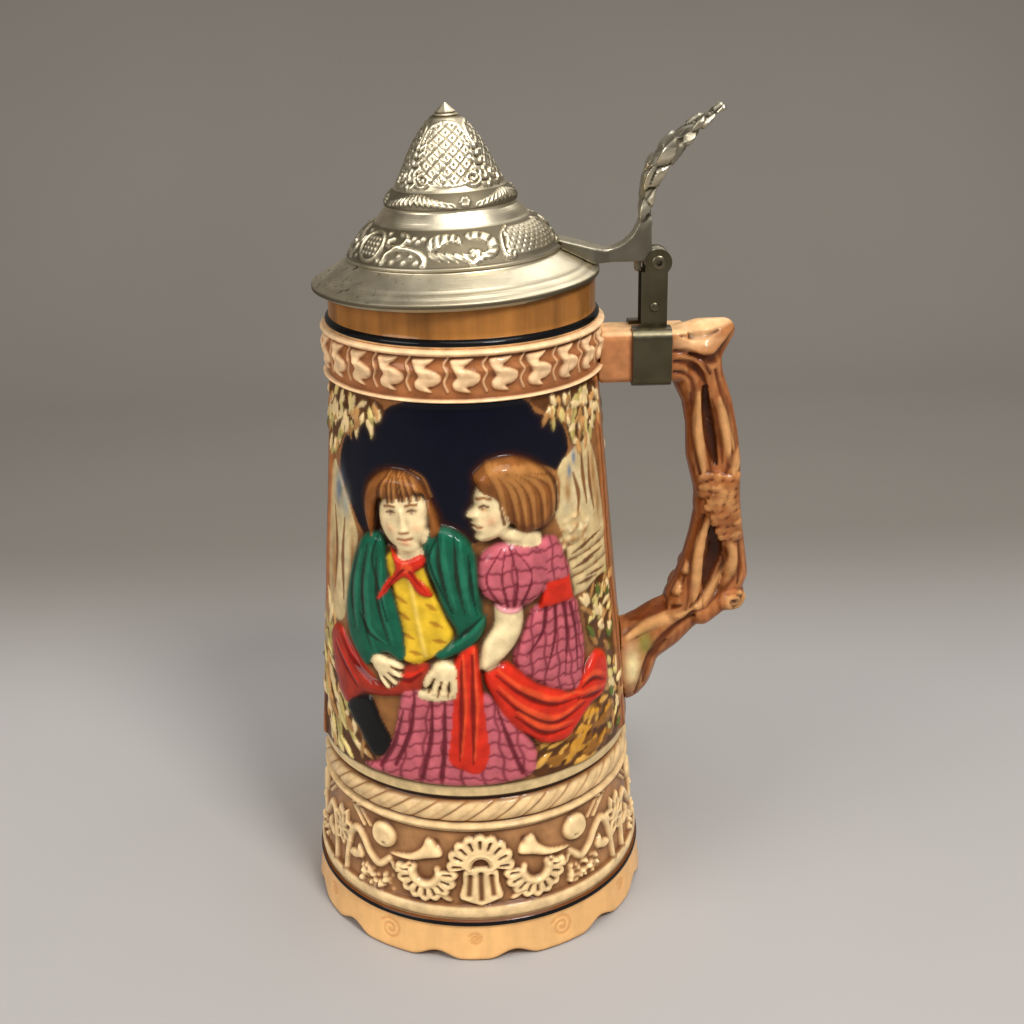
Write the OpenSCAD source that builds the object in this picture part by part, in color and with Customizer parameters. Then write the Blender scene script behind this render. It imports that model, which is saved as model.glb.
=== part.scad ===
// Lidded beer stein: a glazed mug on a scalloped foot, a branch-shaped handle luted to its side,
// and a conical metal lid that swings on a thumb lever, pinned to a strap folded round the handle.
// The mug's axis is Z, the table is z = 0, and the handle points along +X.

/* [Mug radii] */
// Radius of the foot where it stands on the table
foot_r = 55.2; // [54:0.1:60]
// Radius at the top of the scalloped skirt
skirt_r = 53.5; // [52:0.1:56]
// Radius at the top of the shell frieze
frieze_r = 49.2; // [48:0.1:52]
// Radius at the foot of the picture panel
panel_r = 50.1; // [49:0.1:53]
// Radius at the top of the picture panel
shoulder_r = 40.4; // [39.5:0.1:42]
// Radius of the plain rim band
rim_r = 39.6; // [38:0.1:40.5]

/* [Mug heights] */
// Height of the scalloped skirt
skirt_h = 12.7; // [10:0.1:15]
// Height of the shell frieze with its mouldings
frieze_h = 32.1; // [26:0.1:40]
// Height of the rope band
rope_h = 10.1; // [9.5:0.1:14]
// Height of the picture panel
panel_h = 122.5; // [112:0.5:135]
// Height of the scroll band
scroll_h = 15.1; // [13:0.1:19]
// Height of the plain rim band
rim_h = 12.6; // [10:0.1:16]

/* [Mug walls] */
// Thickness of the ceramic wall
wall = 4.5; // [3.5:0.1:5.5]
// Thickness of the floor
floor_t = 6; // [4:0.5:9]
// Height of the hollow under the floor
recess_h = 9; // [6:0.5:11]
// Thickness of the skirt at the table
skirt_t = 6; // [5:0.5:8]
// How far the raised mouldings stand out
bead_d = 0.6; // [0.3:0.1:1]
// Pairs of one small and one large scallop round the foot
lobe_pairs = 6; // [4:1:8]
// Angle that a small scallop takes
small_lobe = 26; // [22:1:30]
// Turn of the foot's scallops about the axis, from the front
lobe_turn = -2.5; // [-30:0.5:30]
// Height of the notch between two scallops
notch_h = 2.6; // [2:0.1:4]
// Radius of the notch
notch_r = 12; // [8:0.5:15]
// Thickness of the whole standing ring behind the notches
ring_t = 2; // [1.5:0.1:3]

/* [Cast relief] */
// How far the figures' bodies stand out of the picture panel
figure_d = 2.7; // [2:0.1:3.5]
// How far their heads and the raised arm stand out of it
head_d = 3.9; // [3.5:0.1:5]
// How far the gown, the trousers and the tree stand out of it
cloth_d = 1.9; // [1:0.1:2.5]
// How far leaves, rocks and trunks stand out of it
leaf_d = 0.9; // [0.5:0.1:1.3]
// How far the shells stand out of the frieze
shell_d = 0.9; // [0.5:0.1:1.3]
// How far the scrolls stand out of their band
scroll_d = 0.9; // [0.7:0.1:1.3]
// How often the frieze repeats round the mug
frieze_repeats = 3; // [2:1:4]
// Scrolls round the mug
scroll_count = 24; // [18:1:30]

/* [Handle] */
// Width of the top bar, across the handle
bar_w = 16.6; // [14:0.1:20]
// Height of the top bar
bar_h = 15.4; // [13:0.1:18]
// Rounding of the top bar's long edges
bar_round = 2; // [1:0.5:3]
// Drop from the rim to the top of the bar
bar_drop = 17.9; // [15:0.1:21]
// Distance from the mug axis to the middle of the grip
grip_x = 76.8; // [74:0.1:82]
// Height of the handle's lower joint above the table
joint_z = 76; // [68:1:82]
// Radius of a branch at the middle of the grip
branch_r = 4.6; // [4.2:0.1:5]
// Ratio of a branch's thickness across the handle to its thickness along it
branch_ratio = 1.6; // [1.3:0.1:1.8]
// Luting gap between the handle and the mug
lute_gap = 0.15; // [0.1:0.05:0.4]

/* [Lid] */
// Radius of the lid's brim
lid_r = 42.4; // [41.5:0.1:44]
// Radius at the foot of the lid's lower relief band
ridge_r = 30.9; // [29:0.1:32.5]
// Radius at the foot of the plain belt
belt_r = 22.5; // [21:0.1:24]
// Radius at the foot of the leaf band
leaf_r = 19.4; // [18:0.1:20.5]
// Radius at the foot of the upper cone
cone_r = 16.6; // [15:0.1:17.5]
// Radius of the flat at the top of the cone
crown_r = 4.3; // [3.8:0.1:6]
// Rise of the brim
brim_rise = 7.1; // [5.5:0.1:8.5]
// Height of the lower relief band
low_band_h = 9.5; // [8:0.1:12]
// Height of the plain belt
belt_h = 4.7; // [4:0.1:8]
// Height of the leaf band
leaf_band_h = 4.2; // [3.5:0.1:7]
// Height of the upper cone
cone_h = 19.4; // [16:0.1:25]
// Offset of the inside of the sheet from its outside, along r and along z
sheet = 1.1; // [0.8:0.1:1.4]
// Depth of the brim's outer edge
edge_h = 0.9; // [0.8:0.1:2]
// Gap between the closed lid and the rim
lid_gap = 0.4; // [0.3:0.1:0.8]
// Lean of the closed lid away from the hinge, in degrees
lid_lean = 1.8; // [0:0.1:3]
// Offset of the lid's axis from the mug's axis, away from the hinge
lid_shift = 1.6; // [0:0.1:2]
// Height of the finial above the crown
finial_h = 3.8; // [3:0.1:8]
// Radius of the finial's flange
finial_r = 3.8; // [3:0.1:4.2]
// Radius of the finial's spigot
spigot_r = 1.4; // [1:0.1:2]

/* [Hinge] */
// Distance from the mug axis to the hinge pin
hinge_x = 58.1; // [57:0.1:60]
// Height of the hinge pin above the middle of the brim's upper edge
hinge_rise = 2.1; // [1.5:0.1:4]
// Radius of the hinge pin
pin_r = 1.5; // [1.2:0.1:1.8]
// Running clearance round the hinge pin
pin_clear = 0.05; // [0.02:0.01:0.1]
// Radius of the lever's knuckle
knuckle_r = 3.8; // [3.2:0.1:4.6]
// Width of the lever's knuckle between the cheeks
knuckle_w = 6; // [5:0.1:7]
// Side clearance between the knuckle and each cheek
side_clear = 0.2; // [0.1:0.05:0.4]
// Radius of the eye at the top of each cheek
eye_r = 3.9; // [3.4:0.1:4.6]
// Width of each cheek below its eye
cheek_w = 7.7; // [7:0.1:9]
// Distance from the pin to the cheek's edge on the mug side
cheek_back = 5; // [4.4:0.1:5.4]

/* [Strap] */
// Thickness of the strap sheet
strap_t = 1; // [0.7:0.1:1.3]
// Width of the strap round the handle
strap_w = 11.6; // [10:0.1:14]
// Distance of the strap's middle from the hinge pin, towards the mug
strap_back = 2.1; // [1.5:0.1:2.6]
// Clearance between the strap and the bar
strap_clear = 0.15; // [0.05:0.05:0.4]
// Radius of the neck rivet
rivet_r = 1; // [0.8:0.1:1.2]
// Radius of the neck rivet's heads
rivet_head_r = 1.5; // [1.3:0.1:2]
// Height of the neck rivet above the strap
rivet_rise = 5.6; // [4:0.1:8]
// Outer radius of the spacer on the neck rivet
spacer_r = 2.4; // [2:0.1:2.8]

/* [Thumb lever] */
// Radius of the sweep from the arm up to the thumb piece
sweep_r = 10.6; // [9:0.1:12]
// Thickness of the arm
arm_t = 3.8; // [3:0.1:5]
// Height of the thumb piece's tip above the hinge pin
thumb_h = 43.9; // [38:0.1:50]
// Distance of the thumb piece's tip beyond the hinge pin
thumb_reach = 17.8; // [14:0.1:22]
// Greatest half width of the thumb piece
thumb_half = 6.5; // [5:0.1:8]
// Half width of the tang where it lies on the lid
tang_half = 5.5; // [4:0.1:7]
// Solder gap between the tang and the lid
solder_gap = 0.15; // [0.05:0.05:0.2]

/* [Hidden] */
$fn = 96;

// Levels of the mug's bands, from the table up
z_skirt = skirt_h;
z_frieze = z_skirt + frieze_h;
z_rope = z_frieze + rope_h;
z_panel = z_rope + panel_h;
z_scroll = z_panel + scroll_h;
z_rim = z_scroll + rim_h;
z_floor = recess_h + floor_t;

// Half-round moulding on a wall of radius r, from height z to z + h, standing out by d
function bead(r, z, h, d, n = 6) =
    [for (i = [0:n]) [r + d * sin(180 * i / n), z + h * (1 - cos(180 * i / n)) / 2]];

// Straight run from a to b, bowed out to its right-hand side by d
function bow(a, b, d, n = 8) =
    let (along = (b - a) / norm(b - a), side = [along[1], -along[0]])
    [for (i = [0:n]) a + (b - a) * i / n + side * d * sin(180 * i / n)];

// Arc about centre c, from angle a to angle b
function arc(c, r, a, b, n = 8) =
    [for (i = [0:n]) let (t = a + (b - a) * i / n) c + r * [cos(t), sin(t)]];

// Mouldings of the mug: heights of the painted line, the foot moulding, the bead and the ledge
line_h = 2;
foot_mould_h = 3.6;
bead_h = 2;
ledge_h = 5;
groove_h = 1;
groove_d = 0.8;
lip_r = wall / 2;

// Outside of the mug from the table to the rim, moved out by gap
function mug_outline(gap = 0) = concat(
    [[foot_r + gap, 0]],
    bead(skirt_r + gap, z_skirt - line_h / 2, line_h, bead_d),
    bead(skirt_r - bead_d + gap, z_skirt + line_h, foot_mould_h, bead_d),
    [[skirt_r - 2 * groove_d + gap, z_skirt + line_h + foot_mould_h + groove_h]],
    bead(frieze_r + gap, z_frieze - bead_h / 4, bead_h, bead_d),
    bead(frieze_r - bead_d / 2 + gap, z_frieze + bead_h, rope_h - bead_h - groove_h, bead_d),
    [[frieze_r - groove_d + gap, z_rope]],
    [[panel_r - bead_d + gap, z_rope + ledge_h / 3]],
    [[panel_r + gap, z_rope + ledge_h]],
    [[shoulder_r + gap, z_panel - groove_h]],
    bead(shoulder_r + bead_d / 3 + gap, z_panel, scroll_h - groove_h, bead_d),
    bead(rim_r + bead_d + gap, z_scroll, line_h, bead_d),
    [[rim_r + gap, z_scroll + line_h + groove_h / 2]]
);

// Inside of the mug from the rim to the floor, and the hollow under the floor
corner_r = 8;
function mug_inside() = concat(
    arc([rim_r - lip_r, z_rim - lip_r], lip_r, 0, 180, 10),
    [[shoulder_r - wall, z_panel]],
    [[panel_r - wall, z_rope + ledge_h]],
    arc([frieze_r - wall - corner_r, z_floor + corner_r], corner_r, 0, -90, 6),
    [[0, z_floor], [0, recess_h], [foot_r - skirt_t - groove_h, recess_h], [foot_r - skirt_t, 0]]
);

// Notches between the scallops, on either side of each small one, in front of the standing ring
module scallop_notches() {
    for (k = [0:lobe_pairs - 1], side = [-1, 1])
        rotate(-90 + lobe_turn + k * 360 / lobe_pairs + side * small_lobe / 2)
            translate([foot_r - skirt_t + ring_t, 0, notch_h - notch_r])
                rotate([0, 90, 0]) cylinder(r = notch_r, h = 2 * skirt_t);
}

// Cast relief. A pad's outline holds angles from the front, towards the handle, and shares of the height
// of the band of wall that it stands on. Its roots reach into the wall.
relief_root = 1.5;
panel_band = [[panel_r, z_rope + ledge_h], [shoulder_r, z_panel - groove_h]];
frieze_band = [[skirt_r - 2 * groove_d, z_skirt + line_h + foot_mould_h + groove_h],
               [frieze_r, z_frieze - bead_h / 4]];
scroll_band = [[shoulder_r + bead_d, z_panel], [shoulder_r + bead_d, z_scroll - groove_h]];

// The seated couple, from the front to the back
man_head = [[-40, 0.662], [-44.5, 0.73], [-43.5, 0.799], [-35.5, 0.842], [-25.5, 0.851], [-18, 0.825],
    [-15, 0.773], [-12.5, 0.705], [-16.5, 0.658], [-24, 0.632], [-33, 0.64]];
woman_head = [[2, 0.833], [7.5, 0.868], [16.5, 0.876], [25.5, 0.856], [32.5, 0.816], [36, 0.765],
    [35, 0.713], [30.5, 0.682], [25.5, 0.649], [11.5, 0.653], [4, 0.67], [0.5, 0.713], [1.5, 0.773]];
puff_sleeve = [[2.5, 0.576], [4, 0.627], [11, 0.66], [20.5, 0.655], [27.5, 0.619], [29.5, 0.559],
    [26.5, 0.511], [19, 0.488], [10, 0.499], [4, 0.53]];
forearm = [[9, 0.512], [18, 0.502], [18.5, 0.43], [12.5, 0.367], [4.5, 0.327], [2, 0.349], [4, 0.404],
    [7.5, 0.447]];
man_body = [[-38, 0.67], [-46, 0.645], [-51.5, 0.567], [-54.5, 0.456], [-53.5, 0.379], [-48.5, 0.331],
    [-42, 0.306], [-33, 0.34], [-25.5, 0.331], [-11.5, 0.348], [-4, 0.379], [2.5, 0.413], [5, 0.456],
    [3, 0.499], [2.5, 0.585], [1, 0.653], [-5, 0.692], [-17, 0.696]];
woman_body = [[18, 0.653], [34.5, 0.645], [38, 0.593], [40, 0.533], [41.5, 0.473], [44.5, 0.396],
    [45.5, 0.31], [42.5, 0.233], [38, 0.219], [28, 0.25], [18, 0.305], [14, 0.353], [17.5, 0.404],
    [16.5, 0.516]];
shawl = [[3.5, 0.322], [10, 0.348], [15.5, 0.327], [23, 0.276], [32, 0.241], [38, 0.224], [46, 0.276],
    [52, 0.296], [58.5, 0.264], [59, 0.207], [54.5, 0.167], [46, 0.155], [39.5, 0.121], [33, 0.095],
    [25.5, 0.1], [18, 0.138], [11.5, 0.19], [6, 0.258]];
sash = [[-5, 0.379], [0.5, 0.399], [2.5, 0.276], [4.5, 0.104], [1.5, 0.052], [-4, 0.058],
    [-9.5, 0.087], [-7.5, 0.258]];
gown = [[-26, 0.258], [-7.5, 0.271], [4, 0.267], [10, 0.215], [16.5, 0.155], [21, 0.087], [20, 0.027],
    [10, 0.013], [-25.5, 0.013], [-43.5, 0.018], [-37, 0.044], [-32, 0.095], [-28, 0.207]];
trousers = [[-67, 0.336], [-60, 0.374], [-53.5, 0.344], [-46, 0.31], [-38, 0.297], [-25.5, 0.318],
    [-16.5, 0.327], [-19, 0.267], [-28, 0.237], [-42, 0.212], [-51, 0.177], [-54.5, 0.168],
    [-60, 0.198], [-65, 0.258]];
boot = [[-53.5, 0.155], [-46.5, 0.211], [-40, 0.224], [-35.5, 0.164], [-31, 0.112], [-33.5, 0.07],
    [-39.5, 0.052], [-46, 0.104]];

// What is round them, and the landscape on the far side
left_trunk = [[-79, 0.014], [-71.5, 0.014], [-69.5, 0.258], [-71, 0.516], [-69, 0.773], [-70, 0.993],
    [-77.5, 0.993], [-76.5, 0.773], [-78.5, 0.516], [-77, 0.258]];
right_trunk = [[67, 0.014], [74.5, 0.014], [76, 0.258], [73.5, 0.516], [75, 0.773], [74, 0.993],
    [66, 0.993], [67.5, 0.773], [66, 0.516], [68, 0.258]];
left_boughs = [[-72.5, 0.991], [-40.5, 0.991], [-34.5, 0.967], [-46, 0.935], [-57.5, 0.898],
    [-63.5, 0.842], [-72.5, 0.842]];
right_boughs = [[28, 0.991], [67.5, 0.991], [69, 0.911], [60, 0.872], [47, 0.859], [43.5, 0.919],
    [34.5, 0.957]];
left_bush = [[-72.5, 0.344], [-63.5, 0.37], [-58.5, 0.276], [-53.5, 0.173], [-46, 0.087], [-38, 0.044],
    [-46, 0.013], [-72.5, 0.013]];
right_bush = [[48.5, 0.464], [66, 0.473], [67.5, 0.31], [67.5, 0.035], [51, 0.018], [56, 0.155],
    [61, 0.258], [48.5, 0.327]];
straw = [[19, 0.155], [35.5, 0.104], [51, 0.155], [56, 0.121], [51, 0.013], [20.5, 0.013]];
left_rock = [[-69, 0.799], [-62.5, 0.782], [-57.5, 0.739], [-51, 0.679], [-48.5, 0.619],
    [-53.5, 0.482], [-57.5, 0.396], [-65, 0.379], [-71.5, 0.447], [-72.5, 0.645]];
right_rock = [[38, 0.813], [44.5, 0.842], [56, 0.868], [63.5, 0.791], [67, 0.627], [66, 0.473],
    [42, 0.464], [37, 0.662], [34.5, 0.73]];
far_tree = [[180, 0.014], [187.5, 0.014], [186, 0.207], [187, 0.344], [203, 0.567], [200, 0.585],
    [185, 0.456], [180, 0.619], [175.5, 0.619], [179, 0.439], [161.5, 0.533], [159, 0.512],
    [178.5, 0.327], [178, 0.207]];
far_crown = [[147, 0.499], [149.5, 0.67], [167.5, 0.773], [192.5, 0.791], [213, 0.688], [215.5, 0.533],
    [195.5, 0.55], [180, 0.619], [164.5, 0.516]];
far_left_hill = [[103.5, 0.344], [129, 0.533], [162, 0.482], [182.5, 0.559], [182.5, 0.018],
    [103.5, 0.018]];
far_right_hill = [[177.5, 0.55], [190, 0.585], [218, 0.499], [256.5, 0.379], [256.5, 0.018],
    [177.5, 0.018]];

// Ornaments of the frieze, for one repeat, and one scroll
vase = [[-7, 0.428], [-7.5, 0.188], [-7.5, 0.052], [0, 0.02], [7.5, 0.052], [7.5, 0.188], [7, 0.428]];
horn = [[34.5, 0.524], [26, 0.588], [21, 0.708], [19.5, 0.876], [14, 0.748], [14, 0.628], [25, 0.508]];
function mirrored(outline) = [for (p = outline) [-p[0], p[1]]];
function disc(c, ra, rs, n) = [for (i = [0:n - 1]) c + [ra * cos(360 * i / n), rs * sin(360 * i / n)]];
function fan(c, ra, rs, from, to, n) =
    concat([c], [for (i = [0:n]) let (t = from + (to - from) * i / n) c + [ra * cos(t), rs * sin(t)]]);
frieze_shapes = [
    vase, horn, mirrored(horn),
    fan([0, 0.516], 12, 0.42, -14, 194, 12),
    fan([19.7, 0.396], 11.8, 0.37, 172, 368, 12), fan([-19.7, 0.396], 11.8, 0.37, 172, 368, 12),
    disc([36.7, 0.748], 5.4, 0.18, 10), disc([-36.7, 0.748], 5.4, 0.18, 10),
    disc([60, 0.488], 8, 0.28, 9)
];
scroll = [[-4.5, 0.823], [4, 0.894], [2, 0.745], [6, 0.603], [5.5, 0.468], [1.5, 0.447], [3, 0.305],
    [-4.5, 0.348], [-3.5, 0.511], [-5, 0.681]];

// Sleeve on a band of wall, from the pads' roots to d outside the wall
module band_sleeve(band, d) {
    low = band[0];
    high = band[1];
    rotate_extrude() polygon([[low[0] - relief_root, low[1]], [low[0] + d, low[1]],
                              [high[0] + d, high[1]], [high[0] - relief_root, high[1]]]);
}

// Prism from the axis outwards, along a direction, that cuts a pad out of such a sleeve
module pad_prism(outline, band, way) {
    rotate([90, 0, way]) linear_extrude(foot_r + head_d) polygon([
        for (p = outline) let (at = band[0] + (band[1] - band[0]) * p[1])
            [at[0] * sin(p[0] - way), at[1]]
    ]);
}

// Middle of an outline, which is the direction of a pad that stands straight on the wall
function middle(outline) = let (angles = [for (p = outline) p[0]]) (min(angles) + max(angles)) / 2;

// The figures are drawn from the mould towards the front, so all their sides run that way
module front_pads(outlines, d) {
    intersection() {
        band_sleeve(panel_band, d);
        union() for (outline = outlines) pad_prism(outline, panel_band, 0);
    }
}

// Pads that stand straight on the wall. No repeat that comes within an angle of the handle is made.
module pads(outlines, band, d, repeats = 1, clear = -1) {
    intersection() {
        band_sleeve(band, d);
        union() for (k = [0:repeats - 1], outline = outlines)
            if (abs(k * 360 / repeats - 90) > clear)
                rotate(k * 360 / repeats) pad_prism(outline, band, middle(outline));
    }
}

// Bare wall that the handle is luted to, as wide as its root
seat_edge = 0.6;
module handle_seat() {
    half = low_branch[len(low_branch) - 1][2] * branch_r + seat_edge;
    translate([0, -half, 0]) cube([2 * foot_r, 2 * half, z_panel]);
}

module mug_relief() {
    front_pads([man_head, woman_head, puff_sleeve, forearm], head_d);
    front_pads([man_body, woman_body, shawl, sash], figure_d);
    front_pads([gown, trousers, boot], cloth_d);
    difference() {
        union() {
            pads([far_tree], panel_band, cloth_d);
            pads([left_trunk, right_trunk, left_boughs, right_boughs, left_bush, right_bush, straw,
                  left_rock, right_rock, far_crown, far_left_hill, far_right_hill], panel_band, leaf_d);
        }
        handle_seat();
    }
    pads(frieze_shapes, frieze_band, shell_d, frieze_repeats);
    pads([scroll], scroll_band, scroll_d, scroll_count,
         asin(bar_w / 2 / shoulder_r) + max([for (p = scroll) abs(p[0])]));
}

module mug_body() {
    color("burlywood") difference() {
        union() {
            rotate_extrude() polygon(concat(mug_outline(), mug_inside()));
            mug_relief();
        }
        scallop_notches();
    }
}

// Handle: heights of the bar, its bare stretch beyond the strap, and how far short of the grip it stops
bar_top = z_rim - bar_drop;
bar_z = bar_top - bar_h / 2;
bar_bare = 1;
bar_short = 10;
bar_end = grip_x - bar_short;

// Branch stations: offset from the middle of the grip, share of the height up to the bar, and radius.
// Offsets and radii are in branch radii.
inner_branch = [[-1.96, 0.93, 1.09], [-1.35, 0.86, 0.96], [-1.11, 0.78, 0.87], [-0.98, 0.68, 0.91],
                [-0.43, 0.58, 0.91], [-0.22, 0.51, 0.96], [-0.52, 0.42, 0.98], [-1.02, 0.33, 0.98],
                [-1.52, 0.26, 1.04], [-2.3, 0.18, 1.17]];
outer_branch = [[-1.09, 1.01, 1.3], [-0.65, 0.93, 1.09], [0.09, 0.84, 1.04], [0.61, 0.74, 1],
                [0.87, 0.65, 1], [0.78, 0.55, 1.13], [0.98, 0.47, 1.09], [1.39, 0.38, 1],
                [1.74, 0.29, 0.93], [1.22, 0.22, 0.91], [-0.65, 0.17, 1.17]];
core_branch = [[-0.87, 0.92, 1], [-0.09, 0.78, 0.83], [0.22, 0.52, 1.17], [0.22, 0.34, 0.87],
               [-0.87, 0.2, 1.09]];
sleeve = [[0.22, 0.61, 1.35], [0.26, 0.52, 1.57], [0.87, 0.42, 1.26]];
low_branch = [[-0.87, 0.185, 1.26], [-2.07, 0.155, 1.52], [-3.26, 0.118, 1.83], [-4.24, 0.087, 1.87],
              [-5.22, 0.058, 1.96], [-6.74, -0.01, 2.96]];
spur = [[-2.61, 1, 1.7], [-1.09, 1.02, 1.65], [0.37, 1.06, 0.78]];
curl = [[1.65, 0.2, 0.78], [1.74, 0.22, 0.78]];

module station(s, ratio) {
    translate([grip_x + s[0] * branch_r, 0, joint_z + s[1] * (bar_z - joint_z)])
        scale([1, ratio, 1]) sphere(r = s[2] * branch_r, $fn = 20);
}

module branch(stations, ratio) {
    for (i = [0:len(stations) - 2]) hull() {
        station(stations[i], ratio);
        station(stations[i + 1], ratio);
    }
}

// Bar that the strap is folded round, with its long edges rounded
module handle_bar() {
    hull() for (y = [-1, 1], z = [-1, 1])
        translate([0, y * (bar_w / 2 - bar_round), bar_z + z * (bar_h / 2 - bar_round)])
            rotate([0, 90, 0]) cylinder(r = bar_round, h = bar_end, $fn = 32);
}

// Upper ends of the branches, which leave the bar bare under the strap
module handle_top() {
    intersection() {
        union() {
            branch(spur, bar_w / (2 * spur[1][2] * branch_r));
            branch(inner_branch, branch_ratio);
            branch(outer_branch, branch_ratio);
        }
        translate([strap_x + strap_w / 2 + bar_bare, -grip_x / 2, 0]) cube([grip_x, grip_x, z_rim]);
    }
}

module handle() {
    color("sienna") difference() {
        union() {
            handle_bar();
            handle_top();
            branch(core_branch, 0.75 * branch_ratio);
            branch(sleeve, 0.8 * branch_ratio);
            branch(low_branch, 1);
            branch(curl, 0.75 * branch_ratio);
        }
        rotate_extrude() polygon(concat(mug_outline(lute_gap), [[0, z_rim], [0, 0]]));
    }
}

// Lid: the small moulding round its ridge
ridge_h = 1.4;
ridge_d = 0.6;

// It leans about the hinge's direction, and its brim rests just above the rim's far side.
// The brim's inner edge and the middle of the rounded rim there set how high the lid sits.
brim_slope = atan2(brim_rise - ridge_h / 2, lid_r - ridge_r);
far_slope = brim_slope + lid_lean;
far_edge_x = sheet * sin(lid_lean) - (lid_r - sheet) * cos(lid_lean) - lid_shift;
far_edge_drop = (lid_r - sheet) * sin(lid_lean) + sheet * cos(lid_lean);
z_lid = z_rim - lip_r + far_edge_drop
    + (lip_r + lid_gap + (far_edge_x + rim_r - lip_r) * sin(far_slope)) / cos(far_slope);

// Levels of the lid's bands above the middle of its brim
z_ridge = brim_rise;
z_belt = z_ridge + low_band_h;
z_leaf = z_belt + belt_h;
z_cone = z_leaf + leaf_band_h;
z_crown = z_cone + cone_h;
cone_wave = 1.25;
cone_steps = 12;

// Side of the upper cone, fullest in its upper half
function cone_side() =
    let (a = [cone_r - ridge_d, z_cone + ridge_d], b = [crown_r, z_crown])
    [for (i = [0:cone_steps]) let (t = i / cone_steps)
        a + (b - a) * t + [cone_wave * sin(180 * pow(t, 1.6)), 0]];

// Outside of the lid from the brim's upper edge to the crown, moved along r and z by shift
function lid_top(shift = 0) = [for (p = concat(
    [[lid_r, 0]],
    bead(ridge_r, z_ridge - ridge_h / 2, ridge_h, ridge_d),
    bow([ridge_r - ridge_d, z_ridge + ridge_h / 2], [belt_r, z_belt], 1),
    bow([belt_r - ridge_d, z_belt + ridge_d], [leaf_r - ridge_d, z_leaf - ridge_d], 0.2),
    bow([leaf_r, z_leaf], [cone_r, z_cone], 0.5),
    cone_side()
)) p + [shift, shift]];

// Puts a piece made about the lid's own axis in its place on the mug
module on_mug() {
    translate([-lid_shift, 0, z_lid]) rotate([0, -lid_lean, 0]) children();
}

module lid_shell() {
    inside = lid_top(-sheet);
    color("silver") on_mug() rotate_extrude() polygon(concat(
        [[lid_r, -edge_h]],
        lid_top(),
        [[spigot_r + pin_clear, z_crown], [spigot_r + pin_clear, z_crown - sheet]],
        [for (i = [len(inside) - 1:-1:0]) inside[i]]
    ));
}

// Finial: a spigot through the crown, peened over inside, a flange and a pointed knob
peen_h = 0.8;
peen_r = spigot_r + peen_h;
flange_h = 0.8;
waist_r = finial_r - 1;
module lid_finial() {
    z_in = z_crown - sheet;
    color("gainsboro") on_mug() rotate_extrude() polygon(concat(
        [[0, z_in - peen_h], [spigot_r, z_in - peen_h], [peen_r, z_in - peen_h / 2], [peen_r, z_in]],
        [[spigot_r, z_in], [spigot_r, z_crown]],
        bead(finial_r - flange_h / 2, z_crown, flange_h, flange_h / 2),
        bow([waist_r, z_crown + flange_h], [0.3, z_crown + finial_h], 0.3),
        [[0, z_crown + finial_h]]
    ));
}

// Hinge: the pin's place, the gap between the cheeks and the strap's place on the bar
hinge_z = z_lid + hinge_rise;
cheek_gap = knuckle_w + 2 * side_clear;
strap_x = hinge_x - strap_back;
strap_top = bar_top + strap_clear + strap_t;
rivet_x = hinge_x - cheek_back + cheek_w / 2;
rivet_z = strap_top + rivet_rise;

// Rectangle with round corners, about the origin
module round_rect(w, h, r) {
    square([w - 2 * r, h], center = true);
    square([w, h - 2 * r], center = true);
    for (x = [-1, 1], y = [-1, 1]) translate([x * (w / 2 - r), y * (h / 2 - r)]) circle(r = r);
}

// Folded sheet seen along the bar: a loop round the bar that is open between the cheeks
module strap_loop() {
    difference() {
        round_rect(bar_w + 2 * (strap_clear + strap_t), bar_h + 2 * (strap_clear + strap_t),
                   bar_round + strap_clear + strap_t);
        round_rect(bar_w + 2 * strap_clear, bar_h + 2 * strap_clear, bar_round + strap_clear);
        translate([-cheek_gap / 2, 0]) square([cheek_gap, bar_h]);
    }
}

// One cheek seen from the side: a plate with a round eye for the pin and a hole for the rivet
shoulder_drop = 1.2;
module cheek_plate() {
    left = hinge_x - cheek_back;
    foot_z = strap_top - strap_t;
    difference() {
        union() {
            translate([left, foot_z]) square([cheek_w, hinge_z - eye_r + shoulder_drop - foot_z]);
            translate([hinge_x, hinge_z]) circle(r = eye_r);
            translate([hinge_x - eye_r, foot_z])
                square([min(2 * eye_r, cheek_w - cheek_back + eye_r), hinge_z - foot_z]);
        }
        translate([hinge_x, hinge_z]) circle(r = pin_r + pin_clear);
        translate([rivet_x, rivet_z]) circle(r = rivet_r + pin_clear);
    }
}

module hinge_strap() {
    color("dimgray") {
        translate([strap_x - strap_w / 2, 0, bar_z]) rotate([90, 0, 90])
            linear_extrude(strap_w) strap_loop();
        for (y = [-1, 1])
            translate([0, y * (cheek_gap + strap_t) / 2, 0]) rotate([90, 0, 0])
                linear_extrude(strap_t, center = true) cheek_plate();
    }
}

// Rivet along Y through the cheeks, with a low domed head on each outer face
module rivet(x, z, shank_r, head_r, head_h) {
    half = cheek_gap / 2 + strap_t;
    translate([x, 0, z]) rotate([90, 0, 0]) {
        cylinder(r = shank_r, h = 2 * half, center = true);
        for (side = [0, 1]) mirror([0, 0, side]) translate([0, 0, half]) rotate_extrude()
            polygon(concat([[0, 0]], [for (a = [0:15:90]) [head_r * cos(a), head_h * sin(a)]]));
    }
}

// Hinge pin, hollow at both ends where it is rolled over
pin_head_h = 0.6;
pin_head_r = pin_r + pin_head_h;
pin_hollow_r = pin_r * 0.6;
pin_hollow_h = 1.6;
module hinge_pin() {
    color("gray") difference() {
        rivet(hinge_x, hinge_z, pin_r, pin_head_r, pin_head_h);
        for (y = [-1, 1]) translate([hinge_x, y * (cheek_gap / 2 + strap_t + pin_head_h), hinge_z])
            rotate([90, 0, 0]) cylinder(r = pin_hollow_r, h = 2 * pin_hollow_h, center = true);
    }
}

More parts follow.
